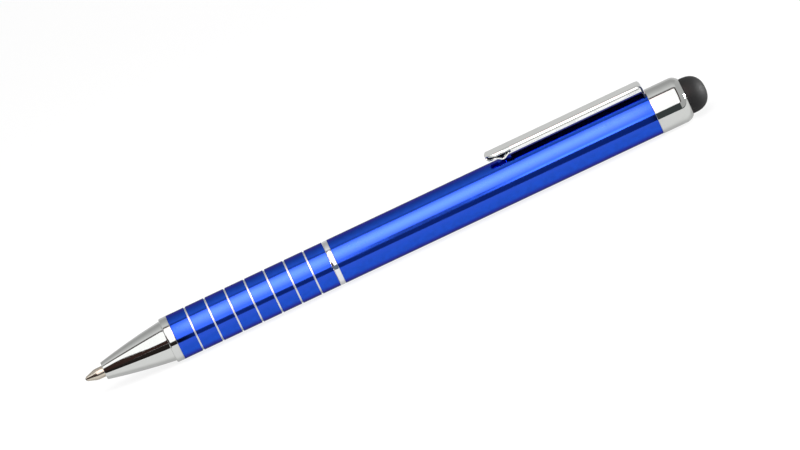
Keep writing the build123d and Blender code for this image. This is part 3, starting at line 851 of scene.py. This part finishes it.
class PEN_OT_clip(bpy.types.Operator):
    """Make the clip: a channel of sheet that folds under into a tongue and bends down to a foot"""

    bl_idname = "pen.clip"
    bl_label = "Clip"

    def execute(self, context):
        size = context.scene.pen_clip
        finishes = context.scene.pen_finishes
        flat = self.flat_section(size)
        lipped = self.channel_section(size, size.lip, size.lip - 2 * size.edge)
        channel = self.channel_section(size, size.height, size.corner)
        path, inward, bent = self.path(size)
        sections = np.choose(bent[:, None, None], [flat, lipped, channel])
        grid = self.carried(size, path, inward, sections)
        skin = bright_plating("clip_plating", finishes.clip_plating)
        clip = add_piece("folded_clip", grid, False, skin, "clip", "clip")
        # The clip's shaded places get a second material, of painted shade.
        clip.data.materials.append(painted_shade_sheet("clip_painted_shade", finishes.fold_painted_shade))
        shaded = self.painted_shade_mask(size, path[:-1, 0], inward[:-1], flat, channel)
        finish_numbers = np.zeros(len(clip.data.polygons), np.int32)
        finish_numbers[: shaded.size] = shaded.ravel()
        clip.data.polygons.foreach_set("material_index", finish_numbers)
        return {"FINISHED"}

    def painted_shade_mask(self, size, along, inward, flat, channel):
        """Which faces get the painted shade, by row along the path and by column round the section: the
        inside of the fold, save along the tongue's edges behind the bump, then the foot's edges and the
        tongue's free end."""
        inside = (np.abs(channel[:, 0]) < CLIP_HIGH.y - size.sheet + SUPPORT) & (channel[:, 1] > 0)
        off_middle = np.abs(flat[:, 0])
        on_edges = off_middle > CLIP_HIGH.y - size.edge - SUPPORT
        near_edges = off_middle > CLIP_HIGH.y - size.sheet - size.bright_edge - SUPPORT
        foot = (along > CLIP_HIGH.x - size.bend) & (inward[:, 0] < 0)
        behind_bump = (along > CLIP_LOW.x + size.bump_place) & (inward[:, 1] > FACES_UP)
        free_end = (along > CLIP_LOW.x + size.tongue - SUPPORT) & (inward[:, 1] > 0)
        shaded = np.tile(self.faces(inside), (len(along), 1))
        shaded[foot[:, None] & self.faces(on_edges)] = True
        shaded[behind_bump[:, None] & self.faces(near_edges)] = False
        shaded[free_end] = True
        return shaded

    def faces(self, points):
        """Which faces round a section lie between two of the chosen points."""
        return points & np.roll(points, -1)

    def section(self, side):
        """A section of the clip as (across, off), with off towards the inside of the fold: one side's
        corners and their mirror images."""
        return outline(side + [(-across, *rest) for across, *rest in reversed(side)])

    def flat_section(self, size):
        """Plain sheet, with the corners on its inner face that the channel and the edge of the painted shade
        need.
        """
        half = size.sheet / 2
        inner = CLIP_HIGH.y - size.sheet
        return self.section(
            [
                (CLIP_HIGH.y, -half, size.edge),
                (CLIP_HIGH.y, half, size.edge),
                (inner, half, FLAT_MARK),
                (inner - size.bright_edge, half, FLAT_MARK),
            ]
        )

    def channel_section(self, size, height, corner):
        """Sheet with both sides bent down."""
        half = size.sheet / 2
        inner = CLIP_HIGH.y - size.sheet
        low = height - half
        return self.section(
            [
                (CLIP_HIGH.y, -half, corner),
                (CLIP_HIGH.y, low, size.edge),
                (inner, low, size.edge),
                (inner, half, corner - size.sheet),
            ]
        )

    def path(self, size):
        """The middle of the sheet's thickness seen from the side, as (along, up): forward along the tongue
        with its bump, round the fold, back along the top and down into the foot. With it the way to the
        inside of the fold, and how the sheet is bent there: flat, with lips in front of its sides, or as
        a channel between the reliefs."""
        half = size.sheet / 2
        top = CLIP_HIGH.z - half
        low = CLIP_HIGH.z - size.height + half
        radius = (top - low) / 2
        centre = np.array([CLIP_LOW.x + half + radius, (top + low) / 2])
        bump = CLIP_LOW.x + size.bump_place
        bump_up = size.bump_low + half
        flat = size.bump_flat / 2
        tongue_rear = CLIP_LOW.x + size.tongue
        tongue = outline(
            [
                (tongue_rear + size.upturn_lean, low + size.upturn, 0),
                (tongue_rear, low, size.upturn_round),
                (bump + flat, bump_up, flat - SUPPORT),
                (bump - flat, bump_up, flat - SUPPORT),
                (CLIP_LOW.x + size.bump_start, low, size.bump_round),
                (centre[0], low, 0),
            ],
            closed=False,
        )
        run = np.gradient(tongue, axis=0)
        run /= np.linalg.norm(run, axis=1, keepdims=True)
        tongue_in = np.stack([run[:, 1], -run[:, 0]], axis=1)
        fold_in = self.spokes(-math.pi / 2, -1.5 * math.pi)[1:]
        first = tongue_rear + size.tongue_relief
        last = CLIP_HIGH.x - size.sheet - size.side_relief
        marks = np.array([CLIP_LOW.x + size.bump_start, first - SUPPORT, first, first + SUPPORT])
        flat_top = np.stack([marks, np.full(len(marks), top)], axis=1)
        bend_centre = np.array([CLIP_HIGH.x - size.bend, CLIP_HIGH.z - size.bend])
        bend_radius = size.bend - half
        sides_end = math.acos((last - bend_centre[0]) / bend_radius)
        with_sides = -self.spokes(math.pi / 2, sides_end)
        bend = np.concatenate([with_sides, -self.spokes(sides_end, 0)])
        down = np.tile([0, -1], (len(marks) + len(with_sides), 1))
        foot = np.array([[CLIP_HIGH.x - half, CLIP_LOW.z]])
        path = [tongue, centre - radius * fold_in, flat_top, bend_centre + bend_radius * bend, foot]
        inward = [tongue_in, fold_in, down, self.spokes(math.pi / 2, 0), [[-1, 0]]]
        path = np.concatenate(path)
        row = np.arange(len(path)) - len(tongue) - len(fold_in)
        on_top = (row >= 0) & (row < len(down))
        bent = np.where(on_top, np.where(path[:, 0] < first, LIPPED, CHANNEL), FLAT)
        return path, np.concatenate(inward), bent

    def spokes(self, first, last):
        """Ways to the middle of a circle, from the points on it at angles from first to last."""
        a = np.linspace(first, last, SWELL_STEPS)
        return -np.stack([np.cos(a), np.sin(a)], axis=1)

    def carried(self, size, path, inward, sections):
        """The sections carried along the path: a section's point (across, off) goes to path + off * inward,
        and to across from the middle. Near the front end the edges draw in along an arc,
        w = sqrt(r^2 - (r - x)^2)."""
        width = CLIP_HIGH.y
        radius = (width**2 + size.end_sagitta**2) / (2 * size.end_sagitta)
        inside = np.clip(path[:, 0] - CLIP_LOW.x, 0, size.end_sagitta)
        drawn_in = width - np.sqrt(radius**2 - (radius - inside) ** 2)[:, None]
        across = sections[:, :, 0] - np.sign(sections[:, :, 0]) * drawn_in
        along = path[:, :1] + inward[:, :1] * sections[:, :, 1]
        up = path[:, 1:] + inward[:, 1:] * sections[:, :, 1]
        return np.stack([along, across, up], axis=2)


class PEN_OT_cap(bpy.types.Operator):
    """Make the rear cap: a stud, a plain band and a rounded shoulder round the seat of the stylus"""

    bl_idname = "pen.cap"
    bl_label = "Rear cap"

    def execute(self, context):
        size = context.scene.pen_cap
        front = UPPER_HIGH.x
        rear = CAP_HIGH.x
        neck = rear - size.neck_depth
        bottom = neck - size.core_depth
        seat = size.end_radius - size.rim
        corners = [
            (CAP_LOW.x, SUPPORT, 0),
            (CAP_LOW.x, size.stud_radius, SOFT),
            (front, size.stud_radius, HIDDEN),
            (front, CAP_HIGH.z, SOFT),
            (rear - size.shoulder, CAP_HIGH.z, SOFT, size.shoulder_bulge),
            (rear, size.end_radius, CRISP),
            (rear, seat, CRISP),
            (neck, seat, HIDDEN),
            (neck, size.core_hole, HIDDEN),
            (bottom, size.core_hole, HIDDEN),
            (bottom, SUPPORT, 0),
        ]
        skin = plating(context.scene)
        grid = lathe(outline(corners, closed=False))
        add_piece("bright_cap", grid, False, skin, "upper", "rear_cap")
        return {"FINISHED"}


class PEN_OT_stylus(bpy.types.Operator):
    """Make the hollow rubber dome on its neck"""

    bl_idname = "pen.stylus"
    bl_label = "Stylus dome"

    def execute(self, context):
        size = context.scene.pen_cap
        seat = CAP_HIGH.x
        neck_front = seat - size.neck_depth
        neck = size.end_radius - size.rim - size.slip
        radius = DOME_HIGH.z
        cavity = radius - size.dome_wall
        start = seat + size.dome_skirt
        outer = self.quarter(start, radius, size.dome_blunt)
        inner = self.quarter(start, cavity, size.dome_blunt)[::-1]
        base = [
            (start, cavity, 0),
            (seat, cavity, CRISP),
            (seat, size.core_hole, CRISP),
            (neck_front, size.core_hole, CRISP),
            (neck_front, neck, CRISP),
            (seat, neck, HIDDEN),
            (seat, radius, SOFT),
            (start, radius, 0),
        ]
        points = np.concatenate([inner, outline(base, closed=False)[1:-1], outer])
        skin = satin_rubber("satin_rubber", context.scene.pen_finishes.rubber)
        add_piece("stylus_tip", lathe(points), False, skin, "upper", "stylus_dome")
        return {"FINISHED"}

    def quarter(self, start, radius, blunt):
        """A quarter of a superellipse from the rim to just short of the axis:
        (start + r * sin(a)^(2 / blunt), r * cos(a)^(2 / blunt)), a quarter circle where blunt is 2."""
        a = np.linspace(0, math.pi / 2, SWELL_STEPS * 2, endpoint=False)
        power = 2 / blunt
        return np.stack([start + radius * np.sin(a) ** power, radius * np.cos(a) ** power], axis=1)


class PEN_OT_point(bpy.types.Operator):
    """Make the refill's point and the ball in its socket"""

    bl_idname = "pen.point"
    bl_label = "Writing point"

    def execute(self, context):
        size = context.scene.pen_point
        finishes = context.scene.pen_finishes
        ball = BALL_HIGH.z
        middle = BALL_LOW.x + ball
        room = ball + size.play
        rim_place = POINT_LOW.x
        rim_hole = math.sqrt(room**2 - (middle - rim_place) ** 2)
        cone_rear = rim_place + size.cone_length
        stub_rear = POINT_HIGH.x
        feed_rear = middle + size.feed_length
        rim_angle = math.pi - math.asin(rim_hole / room)
        cup = self.arc(middle, room, rim_angle, math.asin(size.feed_radius / room))
        corners = [
            (cup[-1, 0], cup[-1, 1], 0),
            (feed_rear, size.feed_radius, HIDDEN),
            (feed_rear, size.reservoir_radius, HIDDEN),
            (stub_rear, size.reservoir_radius, HIDDEN),
            (stub_rear, size.stub_radius, CRISP),
            (stub_rear - size.stub_length, size.stub_radius, HIDDEN),
            (stub_rear - size.stub_length, size.shank_radius, CRISP),
            (cone_rear + size.step_length, size.shank_radius, SOFT),
            (cone_rear, size.neck_radius, SOFT),
            (rim_place, rim_hole + size.rim, HIDDEN),
            (cup[0, 0], cup[0, 1], 0),
        ]
        points = np.concatenate([cup, outline(corners, closed=False)[1:-1]])[::-1]
        skin = turned_metal("nickel_silver", finishes.nickel_silver, roughness=0.2, pitch=0.05, bump=0.12)
        add_piece("writing_point", lathe(points), True, skin, "refill", "refill_point")
        sphere = self.arc(middle, ball, math.pi - POLE_GAP, POLE_GAP)
        skin = turned_metal("ball_steel", finishes.ball, roughness=0.14, pitch=0.4, bump=0.03)
        add_piece("rolling_ball", lathe(sphere), False, skin, "ball", "writing_ball")
        return {"FINISHED"}

    def arc(self, middle, radius, first, last):
        """Part of a circle about a point on the axis: (middle + r * cos(a), r * sin(a))."""
        a = np.linspace(first, last, SWELL_STEPS)
        return np.stack([middle + radius * np.cos(a), radius * np.sin(a)], axis=1)


class PEN_OT_spring(bpy.types.Operator):
    """Make the return spring, which stretches between the nose and the refill as the refill runs back"""

    bl_idname = "pen.spring"
    bl_label = "Return spring"

    def execute(self, context):
        size = context.scene.pen_spring
        colour = context.scene.pen_finishes.wire
        skin = turned_metal("spring_wire", colour, roughness=0.22, pitch=0.08, bump=0.05)
        grid = tube(self.helix(size), size.wire / 2, WIRE_AROUND)
        spring = add_piece("refill_spring", grid, False, skin, None, "return_spring")
        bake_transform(spring)
        return {"FINISHED"}

    def helix(self, size):
        """The wire's middle: (x(n), r * cos(2 pi n), r * sin(2 pi n)) after n turns, where x rises by the
        end pitch in the first and last turns and by the open pitch between them."""
        radius = SPRING_HIGH.z - size.wire / 2
        turns = size.open_turns + 2
        n = np.linspace(0, turns, turns * WIRE_STEPS_A_TURN + 1)
        first = SPRING_LOW.x + size.wire / 2
        last = SPRING_HIGH.x - size.wire / 2
        marks = [first, first + size.end_pitch, last - size.end_pitch, last]
        x = np.interp(n, [0, 1, turns - 1, turns], marks)
        return np.stack([x, radius * np.cos(FULL_TURN * n), radius * np.sin(FULL_TURN * n)], axis=1)


class PEN_OT_inner_works(bpy.types.Operator):
    """Give the pieces inside the pen their finishes"""

    bl_idname = "pen.inner_works"
    bl_label = "Inner works"

    def execute(self, context):
        colour = context.scene.pen_finishes
        brass = turned_metal("turned_brass", colour.brass, roughness=0.24, pitch=0.12, bump=0.1)
        steel = turned_metal("drawn_steel", colour.steel, roughness=0.28, pitch=0.3, bump=0.06)
        white = moulded_plastic("white_plastic", colour.white_plastic, roughness=0.45)
        black = moulded_plastic("black_plastic", colour.black_plastic, roughness=0.5)
        rubber = satin_rubber("ring_rubber", colour.rubber)
        finishes = {
            "coupling": brass,
            "stylus_core": brass,
            "guide_tube": steel,
            "thrust_washer": steel,
            "retainer": steel,
            "refill_tube": steel,
            "bearing_bush": white,
            "cam_sleeve": white,
            "follower": white,
            "clip_plug": black,
            "drag_ring": rubber,
            "ink_column": thick_fluid("writing_ink", colour.ink, clearness=0.0),
            "grease_plug": thick_fluid("clear_grease", colour.grease, clearness=0.4),
        }
        for node, finish in finishes.items():
            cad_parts[node].data.materials.clear()
            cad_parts[node].data.materials.append(finish)
        return {"FINISHED"}


class PEN_OT_stage(bpy.types.Operator):
    """Set the floor, the softbox, the surrounding studio and the camera"""

    bl_idname = "pen.stage"
    bl_label = "Studio"

    def execute(self, context):
        studio = context.scene.pen_studio
        context.scene.view_settings.view_transform = "Standard"
        self.add_floor(studio)
        self.add_strips(studio)
        self.add_softbox(studio)
        self.add_world(context.scene, studio)
        self.add_camera(context.scene, studio)
        return {"FINISHED"}

    def add_card(self, name, corners, material):
        """One flat four-cornered card that is no part of the pen."""
        mesh = bpy.data.meshes.new(name)
        mesh.from_pydata(corners, [], [(0, 1, 2, 3)])
        mesh.materials.append(material)
        card = bpy.data.objects.new(name, mesh)
        bpy.context.scene.collection.objects.link(card)
        return card

    def blank_material(self, name):
        """A material without nodes, and its empty tree."""
        material = bpy.data.materials.new(name)
        material.use_nodes = True
        material.node_tree.nodes.clear()
        return material, Nodes(material.node_tree)

    def add_floor(self, studio):
        """A pale floor that keeps the pen's shadow. It is lifted to white where it is seen. Mirrors see it a
        little darker near the pen, darker still under it, where a shadow is painted into what they see,
        brightest past the dark strip and dim beyond that."""
        material, nodes = self.blank_material("pale_floor")
        ray = nodes.add("LightPath")
        seen = nodes.math("MAXIMUM", ray["Is Camera Ray"], ray["Is Transmission Ray"])
        across = nodes.add("SeparateXYZ", {0: nodes.add("TexCoord")["Object"]})[1]
        mirrored = nodes.times(
            nodes.ramp(across, *FLOOR_PAST_STRIP, studio.floor_near, studio.floor_front),
            nodes.ramp(across, *FLOOR_FAR, 1.0, FLOOR_FAR_SHARE),
            # A shadow painted under the pen, which only mirrors see.
            nodes.ramp(across, *FLOOR_PAINTED_SHADOW, 1.0, FLOOR_PAINTED_SHADOW_SHARE),
        )
        white = nodes.times(seen, studio.floor_lift)
        strength = nodes.math("ADD", white, nodes.times(ray["Is Glossy Ray"], mirrored))
        matt = nodes.add("BsdfDiffuse", {"Color": studio.floor})[0]
        lift = nodes.add("Emission", {"Strength": strength})[0]
        lit = nodes.add("AddShader", {0: matt, 1: lift})[0]
        nodes.add("OutputMaterial", {"Surface": lit})
        half = studio.floor_half
        low = CAD_BOX[0].z
        corners = [(-half, -half, low), (half, -half, low), (half, half, low), (-half, half, low)]
        self.add_card("floor", corners, material)

    def add_strips(self, studio):
        """Two low dark strips on edge in front of the pen, which only mirrors see. The long one is turned a
        little off the pen's way and changes colour along it. The short one stands nearer, off the nose."""
        material, nodes = self.blank_material("dark_strip")
        parts = nodes.add("SeparateXYZ", {0: nodes.add("TexCoord")["Object"]})
        above_foot = nodes.ramp(parts[2], *(CAD_BOX[0].z + height for height in STRIP_FOOT))
        past_cap = nodes.times(nodes.ramp(parts[0], *STRIP_PAST_CAP), above_foot)
        past_nose = nodes.ramp(parts[0], *STRIP_PAST_NOSE)
        past_barrels = nodes.ramp(parts[0], *STRIP_PAST_BARRELS)
        colour = nodes.mix(past_nose, studio.strip_front, studio.strip_middle)
        colour = nodes.mix(past_barrels, colour, studio.strip_rear)
        colour = nodes.mix(past_cap, colour, studio.strip_end)
        glow = nodes.add("Emission", {"Color": colour})[0]
        nodes.add("OutputMaterial", {"Surface": glow})
        half = studio.floor_half * STRIP_SHARE
        turned = half * math.tan(studio.strip_slant)
        ends = (-half, -studio.strip_place - turned), (half, -studio.strip_place + turned)
        self.add_strip("long_strip", ends, studio.strip_top, material)
        ends = (-half, -studio.nose_strip_place), (-studio.nose_strip_rear, -studio.nose_strip_place)
        self.add_strip("nose_strip", ends, studio.strip_top, material)

    def add_strip(self, name, ends, top, material):
        """One strip on edge, from the floor up, which only mirrors see."""
        low = CAD_BOX[0].z
        front, rear = ends
        strip = self.add_card(name, [(*front, low), (*rear, low), (*rear, top), (*front, top)], material)
        strip.visible_camera = False
        strip.visible_diffuse = False
        strip.visible_shadow = False

    def add_softbox(self, studio):
        """A long softbox in a dark frame in front of the pen, unseen by the camera. Mirrors see a weak warm
        gel over the part off the barrels and a scrim beyond it."""
        material, nodes = self.blank_material("softbox")
        along, over = self.bearings(nodes, nodes.add("TexCoord")["Object"])
        barrels = nodes.times(nodes.ramp(along, *BARRELS_START), nodes.ramp(along, *BARRELS_END))
        mirrored = nodes.add("LightPath")["Is Glossy Ray"]
        scrimmed = nodes.times(nodes.math("SUBTRACT", 1.0, barrels), mirrored)
        gelled = nodes.times(barrels, mirrored, nodes.ramp(over, *GEL_RISE))
        power = self.box_power(nodes, studio, along, over)
        power = nodes.add("Mix", {0: scrimmed, 2: power, 3: studio.scrim_level})[0]
        power = nodes.math("DIVIDE", power, nodes.ramp(gelled, 0, 1, 1.0, studio.gel[1]))
        colour = nodes.mix(gelled, grey(1.0), studio.gel)
        glow = nodes.add("Emission", {"Color": colour, "Strength": power})[0]
        frame_colour = nodes.mix(barrels, studio.dark_red, studio.pale_frame)
        cloth = nodes.add("Emission", {"Color": frame_colour})[0]
        opening = self.box_opening(nodes, studio, along, over)
        whole = nodes.add("MixShader", {0: opening, 1: cloth, 2: glow})[0]
        nodes.add("OutputMaterial", {"Surface": whole})
        low = studio.box_low
        high = studio.box_high + studio.box_frame
        middle = (low + high) / 2
        centre = Vector((0, -math.cos(middle), math.sin(middle))) * studio.box_distance
        up = Vector((0, math.sin(middle), math.cos(middle)))
        reach = up * studio.box_distance * math.tan((high - low) / 2)
        left = centre + Vector((-studio.box_front, 0, 0))
        right = centre + Vector((studio.box_rear * BOX_CARD_SHARE, 0, 0))
        corners = [left - reach, right - reach, right + reach, left + reach]
        card = self.add_card("softbox", corners, material)
        card.visible_camera = False
        card.visible_shadow = False

    def box_opening(self, nodes, studio, along, over):
        """Where the softbox's frame is open: a long window that narrows to its end off the writing point."""
        first_rise = nodes.ramp(along, *FIRST_RISE, studio.box_low, studio.box_low + FIRST_RISE_BY)
        low = nodes.math("ADD", first_rise, nodes.ramp(along, *LAST_RISE, 0.0, LAST_RISE_BY))
        high = nodes.ramp(along, *TOP_FALL, studio.box_high, studio.box_high - TOP_FALL_BY)
        return nodes.times(
            nodes.ramp(over, low, nodes.math("ADD", low, BOX_SOFT)),
            nodes.ramp(over, high, nodes.math("SUBTRACT", high, BOX_SOFT)),
            nodes.ramp(along, studio.box_rear, studio.box_rear * BOX_END_SHARE),
        )

    def box_power(self, nodes, studio, along, over):
        """How bright the softbox is: brightest along its middle, dimmer behind a faint flag that hangs
        across a stretch of its low edge, and brighter past the flag."""
        off_peak = nodes.math("ABSOLUTE", nodes.math("SUBTRACT", over, studio.box_peak))
        power = nodes.ramp(off_peak, *BOX_FADE, studio.box_peak_level, studio.box_edge_level)
        flag = nodes.times(
            nodes.ramp(over, *FLAG_FALL),
            nodes.times(nodes.ramp(along, *FLAG_START), nodes.ramp(along, *FLAG_END)),
        )
        kept = nodes.ramp(flag, 0, 1, 1.0, studio.flag_level)
        past_flag = nodes.times(nodes.ramp(over, *PAST_FLAG_FALL), nodes.ramp(along, *PAST_FLAG_START))
        return nodes.times(power, nodes.math("MULTIPLY_ADD", past_flag, PAST_FLAG_GAIN, kept))

    def bearings(self, nodes, way):
        """How far a place or a way lies along the pen, and its angle over the pen from the front horizon."""
        parts = nodes.add("SeparateXYZ", {0: way})
        return parts[0], nodes.math("ARCTAN2", parts[2], nodes.times(parts[1], -1.0))

    def add_world(self, scene, studio):
        """The studio round the pen, by the angle over the pen from the front horizon: grey beside the
        softbox, then a pale ceiling that falls to a grey back wall. It is dark off the writing point, and
        grey off the stylus round one bright light. The camera sees plain white."""
        scene.world = bpy.data.worlds.new("studio")
        scene.world.use_nodes = True
        nodes = Nodes(scene.world.node_tree)
        along, over = self.bearings(nodes, nodes.add("TexCoord")["Generated"])
        over_share = nodes.math("DIVIDE", over, math.pi)
        walls = nodes.add("ValToRGB", {0: over_share})[0]
        stops = walls.node.color_ramp.elements
        for place, value in WALL_GREY_SHARES.items():
            stops.new(place).color = grey(value)
        stops[0].color = grey(FRONT_GREY)
        stops[len(stops) - 1].color = grey(BACK_GREY)
        before_point = nodes.times(nodes.ramp(along, *DARK_START), nodes.ramp(over_share, *DARK_FALL))
        light = nodes.mix(before_point, walls, studio.dark_red)
        light = nodes.mix(nodes.ramp(along, *SIDE_START), light, studio.side_grey)
        light = nodes.mix(nodes.ramp(along, *SIDE_LIGHT), light, grey(studio.side_level))
        light = nodes.mix(nodes.add("LightPath")["Is Camera Ray"], light, grey(1.0))
        nodes.tree.links.new(light, nodes.tree.nodes["Background"].inputs["Color"])

    def add_camera(self, scene, studio):
        """A long lens square to the pen. The camera rolls so that the pen slopes up to the right."""
        camera = bpy.data.objects.new("camera", bpy.data.cameras.new("camera"))
        scene.collection.objects.link(camera)
        scene.camera = camera
        camera.data.lens = studio.lens
        rise, turn = studio.elevation, studio.roll
        along = Vector((1, 0, 0))
        over = Vector((0, math.sin(rise), math.cos(rise)))
        back = Vector((0, -math.cos(rise), math.sin(rise)))
        right = along * math.cos(turn) - over * math.sin(turn)
        up = along * math.sin(turn) + over * math.cos(turn)
        distance = studio.frame_width * studio.lens / camera.data.sensor_width
        place = along * studio.aim_along + over * studio.aim_up + back * distance
        turned = Matrix((right, up, back)).transposed().to_4x4()
        camera.matrix_world = Matrix.Translation(place) @ turned
        camera.data.clip_start = distance / CLIP_TIMES
        camera.data.clip_end = distance * CLIP_TIMES


OPERATORS = (
    PEN_OT_stage,
    PEN_OT_nose,
    PEN_OT_barrels,
    PEN_OT_ring,
    PEN_OT_clip,
    PEN_OT_cap,
    PEN_OT_stylus,
    PEN_OT_point,
    PEN_OT_spring,
    PEN_OT_inner_works,
)


class PEN_PT_sidebar(bpy.types.Panel):
    """Lists the pen's pieces, sizes and finishes."""

    bl_idname = "PEN_PT_sidebar"
    bl_label = "Stylus pen"
    bl_space_type = "VIEW_3D"
    bl_region_type = "UI"
    bl_category = "Pen"

    def draw(self, context):
        for operator in OPERATORS:
            self.layout.operator(operator.bl_idname)
        for name, group in SETTINGS.items():
            box = self.layout.box()
            box.label(text=group.__doc__)
            for label in group.__annotations__:
                box.prop(getattr(context.scene, name), label)


def register():
    for group in SETTINGS.values():
        bpy.utils.register_class(group)
    for name, group in SETTINGS.items():
        setattr(bpy.types.Scene, name, PointerProperty(type=group))
    for operator in OPERATORS:
        bpy.utils.register_class(operator)
    bpy.utils.register_class(PEN_PT_sidebar)


def unregister():
    bpy.utils.unregister_class(PEN_PT_sidebar)
    for operator in reversed(OPERATORS):
        bpy.utils.unregister_class(operator)
    for name in SETTINGS:
        delattr(bpy.types.Scene, name)
    for group in reversed(list(SETTINGS.values())):
        bpy.utils.unregister_class(group)


def main():
    register()
    bpy.ops.pen.stage()
    bpy.ops.pen.nose()
    bpy.ops.pen.barrels()
    bpy.ops.pen.ring()
    bpy.ops.pen.clip()
    bpy.ops.pen.cap()
    bpy.ops.pen.stylus()
    bpy.ops.pen.point()
    bpy.ops.pen.spring()
    bpy.ops.pen.inner_works()


if __name__ == "__main__":
    main()
